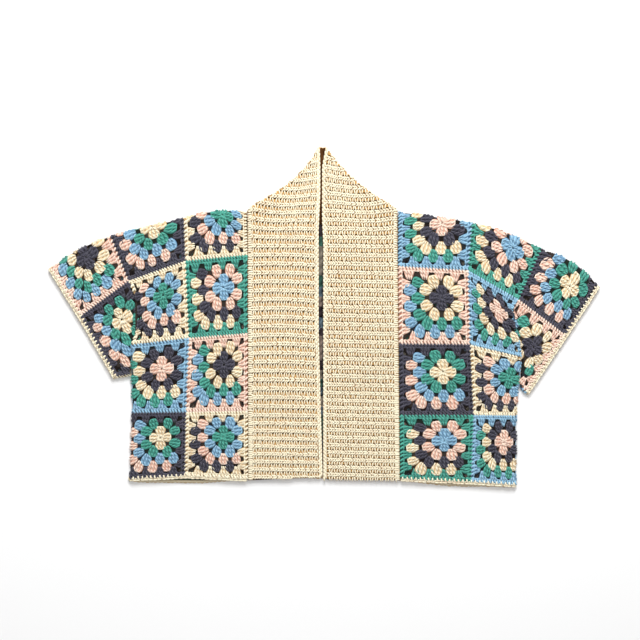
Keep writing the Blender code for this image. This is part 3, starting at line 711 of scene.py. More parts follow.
def chart_ways(name):
    """From the even chart of a square to the places of its cloth, and back."""
    across, up = PULLED_FLOWERS.get(name, (FLOWER, FLOWER))
    rolled = ROLLED.get(name, 0)

    def to_place(u, v):
        u, v = pulled(u, across), pulled(v, up)
        hidden = rolled_share(v)
        if rolled < 0:
            u = (u - hidden) / (1 - hidden)
        if rolled > 0:
            u = u / (1 - hidden)
        return u, v

    def to_chart(u, v):
        hidden = float(rolled_share(v))
        if rolled < 0:
            u = u * (1 - hidden) + hidden
        if rolled > 0:
            u = u * (1 - hidden)
        return unpulled(u, across), unpulled(v, up)

    return to_place, to_chart


def square_stitches(name, surface, to_place, colour, seed, shown, kept):
    """The clusters and the edge stitches of one square, as strands of yarn."""
    yarn = Yarn(seed)
    height = stitch_sizes().cluster_height / MM
    rounds = [YARN_NAMES.index(c) for c in ROUNDS[colour]]
    for number, (clusters, form) in enumerate(zip(CLUSTERS, CLUSTER_FORMS)):
        spots = np.array(clusters, float)
        jitter = yarn.random.normal(0, 1, spots.shape)
        sizing = 1 + 0.04 * yarn.random.normal(0, 1, len(spots))
        tones = yarn.random.random(len(spots))
        spots += jitter * (0.004, 0.004, 2.5)
        ways = np.radians(spots[:, 2])
        u, v = to_place(FLOWER + spots[:, 0], FLOWER + spots[:, 1])
        stay = (u > 0.02) & (u < 0.98) & np.array([kept(a, b) for a, b in zip(u, v)])
        spots, ways, sizing, tones = spots[stay], ways[stay], sizing[stay], tones[stay]
        if len(spots) == 0:
            continue
        length, width, profile = form
        outer = number == len(CLUSTERS) - 1
        ahead = np.stack([np.cos(ways), np.sin(ways)], axis=1)
        aside = np.stack([-np.sin(ways), np.cos(ways)], axis=1)

        def lay(share, off, lift):
            """Points of every cluster at shares of its length and of the square aside.

            The shares are the same for all, or with four axes each has its own.
            """
            share, off, lift = np.broadcast_arrays(share, off, lift)
            run = (share - 0.5) * length
            shape = (len(spots),) + (1,) * (3 if share.ndim == 4 else share.ndim)
            grow = sizing.reshape(shape)
            x, y = (spots[:, i].reshape(shape) + grow * (run * ahead[:, i].reshape(shape)
                                                         + off * aside[:, i].reshape(shape))
                    for i in (0, 1))
            u, v = to_place(FLOWER + x, FLOWER + y)
            u, v = np.clip(u, 0.008, 0.992), np.clip(v, 0.008, 0.992)
            return surface.at(u, v, np.broadcast_to(lift, u.shape))

        def half_width(share):
            return 0.5 * width * np.interp(share, FORM_SHARES, profile)

        def dome(share, aside_share):
            crown = np.sin(math.pi * np.clip(0.03 + 0.8 * share, 0, 1)) ** 0.6
            if outer:
                crown = 0.8 * np.minimum(1, 0.08 + 1.6 * share)
            return height * crown * np.sqrt(np.maximum(0, 1 - 0.9 * aside_share**2))

        rows, columns = (10, 10) if shown else (5, 5)
        share, side_share = np.meshgrid(np.linspace(0, 1, rows), np.linspace(-1, 1, columns),
                                        indexing="ij")
        deep = np.full(share.shape, DOME_SHADE)
        if shown:
            deep[:, (3, 6)] = GROOVE_SHADE
            deep[(1, 4, 7), 3] = deep[(2, 5, 8), 6] = PIT_SHADE
        lift = CLOTH_OUT - 0.3 + 0.95 * dome(share, side_share) - PIT_DROP * (deep - DOME_SHADE)
        deep[(0, -1), :] = deep[:, (0, -1)] = RIM_SHADE
        points, _ = lay(share, half_width(share) * side_share, lift)
        yarn.mounds(points, rounds[number], tones, deep.reshape(1, -1))

        steps = 3 if shown and not outer else 2
        posts = np.array([-1, 0, 1])
        places = (np.arange(steps) + 0.5) / steps
        along = np.array([-0.5, -0.3, 0.0, 0.3, 0.5] if shown else [-0.5, -0.28, 0.28, 0.5])
        bulge = np.array([0, 0.75, 1, 0.75, 0] if shown else [0, 1, 1, 0])
        run = places[None, :, None] + 0.04 * posts[:, None, None] + along * 0.98 / steps
        n, many = len(spots), 3 * steps
        stray = yarn.random.normal(0, 1, (2, n, 3, steps, 1))
        run = np.clip(run + 0.022 * stray[0], 0.02, 0.97)
        off = half_width(run) * 0.64 * (posts[:, None, None] + 0.72 * along + 0.1 * stray[1])
        around = off / np.maximum(half_width(run), TINY)
        lift = CLOTH_OUT + 0.9 * dome(run, np.clip(around, -1, 1)) + 0.7 * bulge
        lift = lift - 0.9 * (bulge == 0) - 1.2 * outer * np.clip(1 - 3 * run, 0, 1)
        points, out = lay(run, off, lift)
        thick = half_yarn() * (0.7 if outer else 0.74)
        radius = thick * (0.5 + 0.5 * bulge) * (1 + 0.06 * yarn.random.normal(0, 1, (n * many, 1)))
        blended = 0.65 * np.repeat(tones, many) + 0.35 * yarn.random.random(n * many)
        k = len(along)
        yarn.strands(points.reshape(-1, k, 3), out.reshape(-1, k, 3), radius, rounds[number],
                     5 if shown else 4, tones=blended)
        if shown and not outer:
            off = half_width(0.9) * np.array([-0.95, -0.6, 0, 0.6, 0.95])
            run = np.array([0.84, 0.93, 0.96, 0.93, 0.84])
            points, out = lay(run, off, CLOTH_OUT + 0.8 + bulge * 0.8)
            yarn.strands(points, out, thick * (0.5 + 0.4 * bulge), rounds[number], tones=tones)
    rolled = ROLLED.get(name.replace("_stitches", ""), 0)
    edge_stitches(yarn, surface, rounds[4], shown, kept, {-1: 3, 1: 1}.get(rolled))
    return yarn.build(name, [yarn_material(c) for c in YARN_NAMES])


def edge_stitches(yarn, surface, slot, shown, kept, rolled):
    """Slanted stitches over each seam, and a chain beside them, but not on a rolled edge."""
    for edge, count in enumerate(EDGE_COUNTS):
        step = 1 / count
        shift = 0.5 if edge in (0, 1) else 0.0
        spots = (np.arange(count) + 0.25 + shift) * step
        spots = spots[(spots > 0.01) & (spots < 0.99)]
        if edge == rolled:
            spots = spots[rolled_share(1 - spots if edge == 3 else spots) < 0.05]
        spots = spots + 0.06 * step * yarn.random.normal(0, 1, len(spots))
        for leans, offs, lifts, share in (SEAM_STITCH, CHAIN_STITCH)[:2 if shown else 1]:
            run = np.clip(spots[:, None] + np.array(leans) * step, 0.0, 1.0)
            off = np.broadcast_to(np.array(offs), run.shape)
            u, v = ((run, off), (1 - off, run), (1 - run, 1 - off), (off, 1 - run))[edge]
            middle = len(leans) // 2
            stay = np.array([kept(a, b) for a, b in zip(u[:, middle], v[:, middle])], bool)
            points, out = surface.at(u[stay], v[stay], np.broadcast_to(lifts, u[stay].shape))
            thick = half_yarn() * share * STITCH_BULGE
            yarn.strands(points, out, thick, slot, 5 if shown else 4)


def chart_length(place, start, end):
    """Length of the cloth from one point of its chart to another, in metres."""
    spots = [place(*Vector(start).lerp(Vector(end), i / 24))[0] for i in range(25)]
    return sum((b - a).length for a, b in zip(spots, spots[1:])) * MM


def add_square(name, place, colour, gaps, outline=None, lines=(), folded=True, steps=4,
               shown=True):
    """A square: its cloth and its stitches. Its outline and lines are in places u, v."""
    inset = SEAM / SQUARE
    cropped = outline is not None
    if outline is None:
        ticks = [inset + (1 - 2 * inset) * i / steps for i in range(steps + 1)]
        outline = [(t, inset) for t in ticks] + [(1 - inset, t) for t in ticks[1:]]
        outline += [(t, 1 - inset) for t in ticks[-2::-1]] + [(inset, t) for t in ticks[-2:0:-1]]
    loop = scaled(outline)
    to_place, to_chart = chart_ways(name)
    centres = [tuple(float(x) for x in to_place(u, v)) for u, v in gaps]
    holes = [h for h in diamonds(centres) if all(inside(p, loop) for p in h)]
    ticks = [i / 12 for i in range(1, 12)]
    dots = [(u * SQUARE, v * SQUARE) for u in ticks for v in ticks]
    dots = [d for d in dots if not any(inside(d, h) for h in holes)]
    near, far = RING, 1 - RING
    ring = scaled([(near, near), (far, near), (far, far), (near, far), (near, near)])
    drawn = [scaled(path) for path in lines] + [ring]
    triangles = triangles_of(loop, holes, drawn, dots)
    on_chart = [tuple(Vector((p.x / SQUARE, p.y / SQUARE)) for p in t) for t in triangles]

    def in_ring(spot):
        return not (near < spot.x < far and near < spot.y < far)

    materials = [yarn_material(colour), painted_shade_between_material(colour), inside_material(colour)]
    cloth, area = cloth_sheet(name + "_cloth", [(on_chart, place)], materials,
                              lambda number, u, v: to_chart(u, v), in_ring)
    kept = (lambda u, v: inside((u, v), outline)) if cropped else (lambda u, v: True)
    seed = sum(ord(c) * (i + 1) for i, c in enumerate(name))
    surface = Surface(place, (96, 96) if folded else (32, 32))
    stitches = square_stitches(name + "_stitches", surface, to_place, colour, seed, shown, kept)
    shares = [i / 8 for i in range(9)]
    width = sum(chart_length(place, (0, t), (1, t)) for t in shares) / len(shares)
    length = sum(chart_length(place, (t, 0), (t, 1)) for t in shares) / len(shares)
    for piece in (cloth, stitches):
        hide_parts(name)


def diamonds(centres):
    """Gaps as four-sided loops, in millimetres on the chart of a square."""
    loops = []
    for u, v in centres:
        x, y = u * SQUARE, v * SQUARE
        loops.append([(x - GAP, y), (x, y - GAP), (x + GAP, y), (x, y + GAP)])
    return loops


def scaled(path):
    """A path of a unit chart in millimetres."""
    return [(u * SQUARE, v * SQUARE) for u, v in path]


def fold_normals(side):
    """Outward directions at the points of a shoulder's fold, across the neighbouring seams."""
    fold = POINTS[side]["fold"]
    order = ["cuff", "arm", "yoke", "neck"] if side == "left" else ["neck", "yoke", "arm", "cuff"]
    spots = [Vector(fold[k]) for k in order]
    normals = {}
    for i, key in enumerate(order):
        along = spots[min(i + 1, 3)] - spots[max(i - 1, 0)]
        normals[key] = Vector((-along.y, along.x)).normalized()
    return normals


def top_squares(side):
    """The three squares that lie over the fold of one shoulder and sleeve."""
    points, normals = POINTS[side], fold_normals(side)
    for name, outer, nearer in (
        ("sleeve_top", "cuff", "arm"),
        ("shoulder_outer", "arm", "yoke"),
        ("shoulder_inner", "yoke", "neck"),
    ):
        a, b = (outer, nearer) if side == "left" else (nearer, outer)
        front = line(points["front"][a], points["front"][b])
        back = line(points["back"][a], points["back"][b])
        outline = line(points["fold"][a], points["fold"][b], FOLD_BOW[side][outer])
        fold = fold_axis(outline, normals[a], normals[b])
        across = folded_piece(front, fold, back)
        lines = [[(q, p) for p, q in path] for path in facet_lines(front, fold, back)]
        add_square(
            f"{side}_{name}",
            lambda u, v, across=across: across(v, u),
            TOP_ROW[side][name],
            SHOWN_SIDE_GAPS,
            lines=lines,
            steps=FOLDED_STEPS,
        )


def body_edge(side):
    """The side seam line of the second row, which lies over the sleeve, from low to high."""
    low, high = Vector(POINTS[side]["row 3"]["side"]), Vector(POINTS[side]["front"]["arm"])
    left = Vector((low.y - high.y, high.x - low.x)).normalized()
    bow, power = BODY_EDGE_BOW[side]
    top = power / (power + 1)
    scale = bow / (top**power * (1 - top))
    return lambda t: low.lerp(high, t) + left * (scale * t**power * (1 - t))


def side_and_inner(side, low, high, column, colour, number):
    """One square of the front: flat, or folded round the side of the body in rows 3 and 4."""
    points, rise = POINTS[side], lap_rise(side)
    first, second = ("side", "inner") if column == "side" else ("inner", "neck")
    top = dict(points[high])
    if high == "front":
        top["side"], top["inner"] = top["arm"], top["yoke"]
    if side == "right":
        first, second = second, first
    corner = [points[low][first], points[low][second], top[second], top[first]]
    bottom, upper = line(corner[0], corner[1]), line(corner[3], corner[2])
    left, right = line(corner[0], corner[3]), line(corner[1], corner[2])
    name = f"{side}_{column}_{number}"
    if column == "inner":
        place = flat_piece(bottom, upper, left, right, FRONT_Z, UP)
        return add_square(name, place, colour, SHOWN_SIDE_GAPS, folded=False, steps=1)
    if high == "front":
        edge = body_edge(side)
        left, right = (edge, right) if side == "left" else (left, edge)
        place = flat_piece(bottom, upper, left, right, FRONT_Z, UP, rise)
        return add_square(name, place, colour, SHOWN_SIDE_GAPS, steps=FOLDED_STEPS)
    outward = (-1, 0) if side == "left" else (1, 0)
    column_points = back_points()[0 if side == "left" else -1]
    back = line(column_points[number], column_points[number - 1])
    near, outline = (right, left) if side == "left" else (left, right)
    raised = rise if number == 3 else flat_cloth
    fold = fold_axis(outline, outward, outward, raised)
    across = folded_piece(near, fold, back, raised)
    lines = facet_lines(near, fold, back)
    if side == "left":
        lines = [[(1 - p, q) for p, q in path] for path in lines]

    def place(u, v):
        return across(1 - u if side == "left" else u, v)

    return add_square(name, place, colour, SHOWN_SIDE_GAPS, lines=lines, steps=FOLDED_STEPS)


def front_squares(side):
    """Two columns of three squares beside the neckband."""
    rows = (("row 3", "front", 2), ("row 4", "row 3", 3), ("hem", "row 4", 4))
    for column, colours in FRONT_ROWS[side].items():
        for (low, high, number), colour in zip(rows, colours):
            side_and_inner(side, low, high, column, colour, number)


def back_points():
    """x, y where the seam lines of the back cross, for each column from the top down."""
    columns = []
    for top_x, top_y, low_x, hem_y in BACK_COLUMNS:
        column = {}
        for number, share in enumerate(BACK_ROWS):
            x = top_x if number == 0 else low_x
            column[number + 1] = (x, top_y + share * (hem_y - top_y))
        columns.append(column)
    return columns


def back_squares():
    """Three rows of six squares, with their outside to the floor."""
    columns = back_points()
    for row, colours in enumerate(BACK_EDGES, start=1):
        for number, colour in enumerate(colours):
            near, far = columns[number], columns[number + 1]
            place = flat_piece(
                line(far[row + 1], near[row + 1]),
                line(far[row], near[row]),
                line(far[row + 1], far[row]),
                line(near[row + 1], near[row]),
                BACK_Z,
                -UP,
            )
            add_square(f"back_{row + 1}_{number + 1}", place, colour, HIDDEN_SIDE_GAPS,
                       folded=False, steps=1, shown=False)


def sleeve_bottom(side):
    """The fold along the bottom of a sleeve, from left to right."""
    points = POINTS[side]["sleeve"]
    start, end = ("tip", "under") if side == "left" else ("under", "tip")
    outline = line(points[start], points[end], SLEEVE_BOTTOM_BOW[side])
    along = Vector(points[end]) - Vector(points[start])
    out = (along.y, -along.x)
    return fold_axis(outline, out, out)


def end_of_fold(fold, x, side):
    """Share of a sleeve's bottom fold, from its cuff, that is clear of the body's side."""
    low, high = 0.0, 1.0
    for _ in range(40):
        middle = (low + high) / 2
        spot = fold(middle if side == "left" else 1 - middle)[0].x
        outside = spot < x if side == "left" else spot > x
        low, high = (middle, high) if outside else (low, middle)
    return low


def sleeve_squares(side):
    """The lower front and the back of a sleeve, whose inner end lies under the body."""
    points, tuck, fold = POINTS[side], TUCK[side], sleeve_bottom(side)
    names = ("cuff", "arm") if side == "left" else ("arm", "cuff")
    top = line(points["front"][names[0]], points["front"][names[1]])
    middle, high = points["sleeve back"], points["back"]
    back = line(middle[names[0]], middle[names[1]])

    def axis(q):
        return fold(q)[0]

    front_place = flat_piece(axis, top, line(axis(0), top(0)), line(axis(1), top(1)), FRONT_Z, UP)
    across = folded_piece(axis, fold, back)

    def back_place(u, v):
        return across(1 - v, u)

    def column(u):
        return u if side == "left" else 1 - u

    outward = -1 if side == "left" else 1
    edge = body_edge(side)
    beside = [edge(t) + Vector((outward * CLEAR, 0)) for t in BESIDE_SLEEVE]
    hidden = [
        (tuck["hidden x"], tuck["top y"]),
        (tuck["hidden x"], tuck["low y"]),
        (tuck["fold x"] - outward * TUCK_EDGE, tuck["fold y"]),
        (tuck["fold x"], tuck["fold y"]),
    ]
    inset = SEAM / SQUARE
    under = [chart_point(front_place, x, y, (column(0.8), 0.5)) for x, y in beside + hidden]
    low = end_of_fold(fold, tuck["fold x"], side)
    loop = [(column(inset), 3 * inset), (column(low), 3 * inset)] + under[::-1]
    loop += [(column(SLEEVE_TOP), 1 - inset), (column(inset), 1 - inset)]
    loop = loop if side == "left" else loop[::-1]
    lower_front, lower_back, upper_back = SLEEVE_LOW[side]
    add_square(f"{side}_sleeve_front", front_place, lower_front, SHOWN_SIDE_GAPS, loop)

    armhole = line(middle["arm"], back_points()[0 if side == "left" else -1][2])
    spots = [armhole(t) + Vector((outward * CLEAR, 0)) for t in BEHIND_SLEEVE]
    spots.append((tuck["fold x"], tuck["fold y"]))
    inner_end = [chart_point(back_place, x, y, (column(0.7), 0.3)) for x, y in spots]
    steps = 4
    ticks = [low * i / steps for i in range(steps + 1)]
    past = ticks + [low + 0.1]
    fold_lines = []
    for step in range(1, FOLD_STEPS + 1):
        shares = [(column(q), 1 - fold_share(axis, fold, back, column(q), step)) for q in past]
        fold_lines.append([(column(-0.01), shares[0][1])] + shares)
    loop = [(column(inset), inset)] + inner_end
    loop += [(column(q), 1 - inset) for q in ticks[::-1][:-1]] + [(column(inset), 1 - inset)]
    loop = loop if side == "left" else loop[::-1]
    add_square(f"{side}_sleeve_back", back_place, lower_back, SHOWN_SIDE_GAPS, loop, fold_lines,
               shown=False)

    near, far = names
    upper_place = flat_piece(
        line(middle[far], middle[near]),
        line(high[far], high[near]),
        line(middle[far], high[far]),
        line(middle[near], high[near]),
        BACK_Z,
        -UP,
    )
    add_square(f"{side}_sleeve_back_top", upper_place, upper_back, HIDDEN_SIDE_GAPS,
               folded=False, steps=1, shown=False)


# ---------------------------------------------------------------- neckband


def band_half(side):
    """Half of the neckband, as the cloth lies before its fold: triangles, place, outline."""
    low, high = (Vector(p) for p in BAND_SEAM[side])
    free = [Vector((x, y)) for y, x in BAND_FREE[side]]
    out = Vector((high.y - free[-1].y, free[-1].x - high.x))
    out = -out.normalized() if out.y < 0 else out.normalized()
    radius = (FRONT_Z - BACK_Z) / 2
    axis = high - out * (radius + WALL / 2)
    around = math.pi * radius

    def before(x, y):
        return (Vector((x, y)) - axis).dot(out)

    def across(x):
        """Share of the way from the peak to the neck seam."""
        return abs(x - BAND_NECK[0]) / abs(high.x - BAND_NECK[0])

    def dip(x):
        share = across(x)
        if share < DIP_END:
            start = smooth(0, DIP_START, share)
            return BAND_DIP[side] * start * math.sin(math.pi * share / DIP_END)
        rest = min((share - DIP_END) / (1 - DIP_END), 1.0)
        return -BAND_BULGE * math.sin(math.pi * rest)

    def place(x, y):
        far = before(x, y)
        if far <= 0:
            point = Vector((x, y)) - out * (dip(x) * math.exp(-((far / DIP_REACH) ** 2)))
            return Vector((point.x, point.y, FRONT_Z)), UP
        root = Vector((x, y)) - out * far
        if far < around:
            return round_fold(root, out, radius, far / radius, dip(root.x))
        past = far - around
        root = root - out * past
        neck_y = BAND_NECK[1] + (high.y - BAND_NECK[1]) * across(root.x)
        over = max(root.y - neck_y, 0.0)
        root = root - out * (dip(root.x) * (over / (over + past + TINY)) ** 2)
        return Vector((root.x, root.y, BACK_Z)), -UP

    def unfolded(x, y):
        return Vector((x, y)) + out * (around - 2 * before(x, y))

    def crossing(start, way, distance):
        """Where a line reaches that distance past the axis."""
        return start + way * ((distance - before(*start)) / way.dot(out))

    seam_turn = crossing(low, (high - low).normalized(), around)
    free_turn = crossing(free[-2], (free[-1] - free[-2]).normalized(), around)
    outline = [low] + free[:-1] + [free_turn, unfolded(*BAND_PEAK_BACK), unfolded(*BAND_NECK)]
    outline.append(seam_turn)
    if side == "right":
        outline = outline[::-1]
    along = Vector((out.y, -out.x))
    facets = []
    for step in range(FOLD_STEPS + 1):
        middle = axis + out * (around * step / FOLD_STEPS)
        spots = [BAND_REACH * (2 * i / FOLD_POINTS - 1) for i in range(FOLD_POINTS + 1)]
        facets.append([middle + along * spot for spot in spots])
    loop = [tuple(p) for p in outline]
    dots = [(x, y) for x in range(-126, 127, 12) for y in range(-270, 440, 12)]
    dots = [d for d in dots if inside(d, loop)]
    return triangles_of(loop, (), facets, dots), place, loop


def row_lean(side, share, y):
    """How far a row of the band arches and slopes, at that share of the way from its seam."""
    if side == "left":
        strength = smooth(-200, -30, y) * (1 - 0.5 * smooth(60, 160, y))
        return 2.8 * strength * (4 * share * (1 - share) - 0.95) - 2.2 * (share - 0.42)
    strength = 1 - 0.8 * smooth(60, 170, y)
    return 3.2 * strength * (share - 0.6)


def band_edges(side, y):
    """x of the seam and of the free edge at y."""
    seam, free = BAND_SEAM[side], BAND_FREE[side]
    start = np.interp(y, [p[1] for p in seam], [p[0] for p in seam])
    return start, np.interp(y, [p[0] for p in free], [p[1] for p in free])


def band_chart(side, x, y):
    """Place on the band's own chart: shares from its seam, and rows from its lower end."""
    start, end = band_edges(side, y)
    share = (x - start) / (end - start)
    rows, heights = BAND_ROWS[side]
    row = np.interp(y - row_lean(side, share, y), heights, rows)
    return float(share), float(row)


def band_stitches(side):
    """The ridges of the band, the stitches between them and its edge stitches."""
    _, place, loop = band_half(side)
    yarn = Yarn(11 if side == "left" else 23)
    sign = 1 if side == "left" else -1
    west, east = (-136, 10) if side == "left" else (-10, 136)
    surface = Surface(place, (96, 490), (west, -284), (east, 452))
    rows, heights = BAND_ROWS[side]
    half_thick = half_yarn()
    bulge = np.array((0.0, 0.8, 1.0, 0.8, 0.0))

    def row_y(row, share):
        y = np.interp(row, rows, heights)
        lean = np.array([row_lean(side, s, h) for s, h in zip(share.ravel(), y.ravel())])
        return y + lean.reshape(y.shape)

    def lay(xs, ys, lifts, thick, tones=None, depth=0.0):
        """Strands through charted points, where they are on the band."""
        middle = xs.shape[1] // 2
        stay = [inside(spot, loop) for spot in zip(xs[:, middle], ys[:, middle])]
        xs, ys = xs[stay], ys[stay]
        points, out = surface.at(xs, ys, np.broadcast_to(lifts, xs.shape))
        round_up = thick * (0.55 + 0.45 * bulge) * half_thick
        yarn.strands(points, out, round_up, 0, tones=tones, depth=depth)

    for row in range(-1, 50):
        y = float(np.interp(row, rows, heights))
        start, end = band_edges(side, y)
        wide = abs(end - start)
        away = np.arange(FIRST_POST, wide - LAST_POST, POST_PITCH)
        away = away + 0.3 * yarn.random.normal(0, 1, len(away))
        n = len(away)
        x, share = start + sign * away, away / wide
        lean = np.where(np.arange(n) % 2 == 0, 1.0, -1.0)

        def through(offsets, phases):
            """Charted points of strands at every place along the row."""
            xs = x[:, None] + np.asarray(offsets)
            phases = np.broadcast_to(sign * np.asarray(phases) + row, xs.shape)
            ys = row_y(phases, np.broadcast_to(share[:, None], xs.shape))
            return xs, ys + 0.3 * yarn.random.normal(0, 1, (n, 1))

        for phases in RIDGE_PHASES:
            xs, ys = through(RIDGE_SPREAD, phases)
            lay(xs, ys, (0.4, 1.9, 2.5, 1.9, 0.4), 0.84)
        drift = lean[:, None] * np.array((-1.0, -0.6, 0, 0.5, 0.7)) + 1.4
        xs, ys = through(drift, (0.46, 0.6, 0.8, 1.0, 1.2))
        lay(xs, ys, (0.4, 1.3, 1.7, 1.9, 1.6), 0.72, depth=0.04)
    for number in range(-3, 100):
        y = np.interp(number / 2 + 0.25, rows, heights)
        start, _ = band_edges(side, y)
        for shift in (-1.75, 1.75):
            xs = start + sign * np.array([[0.0, 1.6, 4.6, 7.6, 9.2]])
            ys = y + shift + 0.4 * yarn.random.normal(0, 1, (1, 5))
            lay(xs, ys, (0.6, 1.8, 2.1, 1.9, 0.6), 0.92)
    for number in range(-3, 84):
        y = np.interp(number / 2 + 0.2, rows, heights)
        for inward, shift in ((1.5, 0.0), (4.3, 3.4)):
            ys = y + shift + np.array([[-4.6, -3.0, 0.0, 3.0, 4.6]])
            _, end = band_edges(side, ys)
            lay(end - sign * (inward + np.array([[0.7, 0.3, 0, -0.3, -0.6]])), ys,
                (0.7, 1.7, 2.2, 1.7, 0.7), 0.95)
    return yarn.build(f"neckband_{side}_stitches", [yarn_material("cream")])


def neckband():
    """The ribbed band up one front, round the back of the neck and down the other front."""
    halves = [band_half(side) for side in ("left", "right")]
    sheets = [(triangles, place) for triangles, place, _ in halves]
    materials = [yarn_material("cream"), band_painted_shade_material(), band_inside_material()]

    def chart_of(number, x, y):
        side = ("left", "right")[number]
        share, row = band_chart(side, x, y)
        return share, row if side == "left" else -row

    cloth, area = cloth_sheet("neckband_cloth", sheets, materials, chart_of)
    stitches = [band_stitches(side) for side in ("left", "right")]
    for piece in [cloth] + stitches:
        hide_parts("neckband")


# ---------------------------------------------------------------- edging


def turn_stations(axis, out, radius, way, from_front):
    """Stations round a fold, from the front of the garment to its back or the other way."""
    stations = []
    for step in range(FOLD_STEPS + 1):
        middle, outside = round_fold(axis, out, radius, math.pi * step / FOLD_STEPS)
        stations.append((middle, outside, way))
    return stations if from_front else stations[::-1]


def edging(name, stations, closed):
    """Edging crocheted on along a path of stations: its cloth, its chain and its teeth."""
    (first, outside, way), second = stations[0], stations[1][0]
    if way.cross(second - first).dot(outside) < 0:
        stations = stations[::-1]
    rings, faces = [], []
    for middle, outside, way in stations:
        near, far = middle + way * (2 * SEAM), middle + way * EDGING_CLOTH
        rings += [near + outside * CLOTH_OUT, far + outside * CLOTH_OUT]
        rings += [far - outside * CLOTH_IN, near - outside * CLOTH_IN]
    count = len(stations)
    for i in range(count if closed else count - 1):
        a, b = 4 * i, 4 * ((i + 1) % count)
        faces += [(a + k, a + (k + 1) % 4, b + (k + 1) % 4, b + k) for k in range(4)]
    if not closed:
        last = 4 * (count - 1)
        faces += [(3, 2, 1, 0), (last, last + 1, last + 2, last + 3)]
    points = in_metres(np.array([tuple(p) for p in rings]))
    maps = [((0, 0), (0, 1), (1, 1), (1, 0))] * len(faces)
    cloth = make_piece(name + "_cloth", points, faces, [yarn_material("cream")],
                       [0] * len(faces), maps, depths=[EDGING_DEPTH] * len(points))
    path = stations + [stations[0]] if closed else stations
    runs = [0.0]
    for a, b in zip(path, path[1:]):
        runs.append(runs[-1] + (b[0] - a[0]).length)
    yarn = Yarn(len(name))

    def at(run, off, lift):
        run = min(max(run, 0.0), runs[-1])
        i = min(max(int(np.searchsorted(runs, run)) - 1, 0), len(path) - 2)
        t = (run - runs[i]) / max(runs[i + 1] - runs[i], TINY)
        middle = path[i][0].lerp(path[i + 1][0], t)
        outside = path[i][1].lerp(path[i + 1][1], t).normalized()
        way = path[i][2].lerp(path[i + 1][2], t)
        return tuple(middle + way * off + outside * lift), tuple(outside)

    for along, offs, lifts, thick in TOOTH_STRANDS:
        made = []
        for number in range(int(runs[-1] / TOOTH_PITCH)):
            run = TOOTH_PITCH * (number + 0.5) + 0.5 * yarn.random.normal()
            reach = 0.25 * yarn.random.normal()
            made.append([at(run + a, off + reach, lift)
                         for a, off, lift in zip(along, offs, lifts)])
        path_points = np.array([[m[0] for m in strand] for strand in made])
        outs = np.array([[m[1] for m in strand] for strand in made])
        yarn.strands(path_points, outs, thick * half_yarn() * STITCH_BULGE)
    stitches = yarn.build(name + "_stitches", [yarn_material("cream")])
    for piece in (cloth, stitches):
        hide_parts(name)


def hem_edging():
    """Plain edging along the hem: front, round one side, back, round the other side, front."""
    way = Vector((0, -1, 0))
    stations = []
    for side, outward in (("left", -1), ("right", 1)):
        points = POINTS[side]["hem"]
        end = Vector(points["side"])
        fold = fold_axis(lambda q, end=end: end, (outward, 0), (outward, 0))
        axis, out, radius = fold(0)
        flat = [Vector((*points["neck"], FRONT_Z)), Vector((*points["inner"], FRONT_Z))]
        flat[0].x += outward * CLEAR
        half = [(p, UP, way) for p in flat] + turn_stations(axis, out, radius, way, True)
        if side == "left":
            stations += half
            stations += [(Vector((*c[4], BACK_Z)), -UP, way) for c in back_points()]
        else:
            stations += half[::-1]
    edging("hem_edging", stations, False)


def cuff_edging(side):
    """Plain edging round the open end of a sleeve."""
    points = POINTS[side]
    outward = -1 if side == "left" else 1
    slope = math.radians(SLEEVE_ANGLE[side])
    way = Vector((outward * math.cos(slope), -math.sin(slope), 0))
    top_end = Vector(points["fold"]["cuff"])
    normal = fold_normals(side)["cuff"]
    axis, out, radius = fold_axis(lambda q: top_end, normal, normal)(0)
    low_axis, low_out, low_radius = sleeve_bottom(side)(0 if side == "left" else 1)
    stations = turn_stations(axis, out, radius, way, False)
    stations.append((Vector((*points["front"]["cuff"], FRONT_Z)), UP, way))
    stations += turn_stations(low_axis, low_out, low_radius, way, True)
    for row in ("sleeve back", "back"):
        stations.append((Vector((*points[row]["cuff"], BACK_Z)), -UP, way))
    edging(f"{side}_cuff_edging", stations, True)


# ---------------------------------------------------------------- yarn finishes


def colours():
    """The chosen colours of the yarns."""
    return bpy.context.scene.cardigan_yarns


def stitch_sizes():
    """The chosen sizes of the stitches."""
    return bpy.context.scene.cardigan_stitches


def half_yarn():
    """Half the thickness of a strand, in millimetres."""
    return stitch_sizes().yarn_thickness / MM / 2


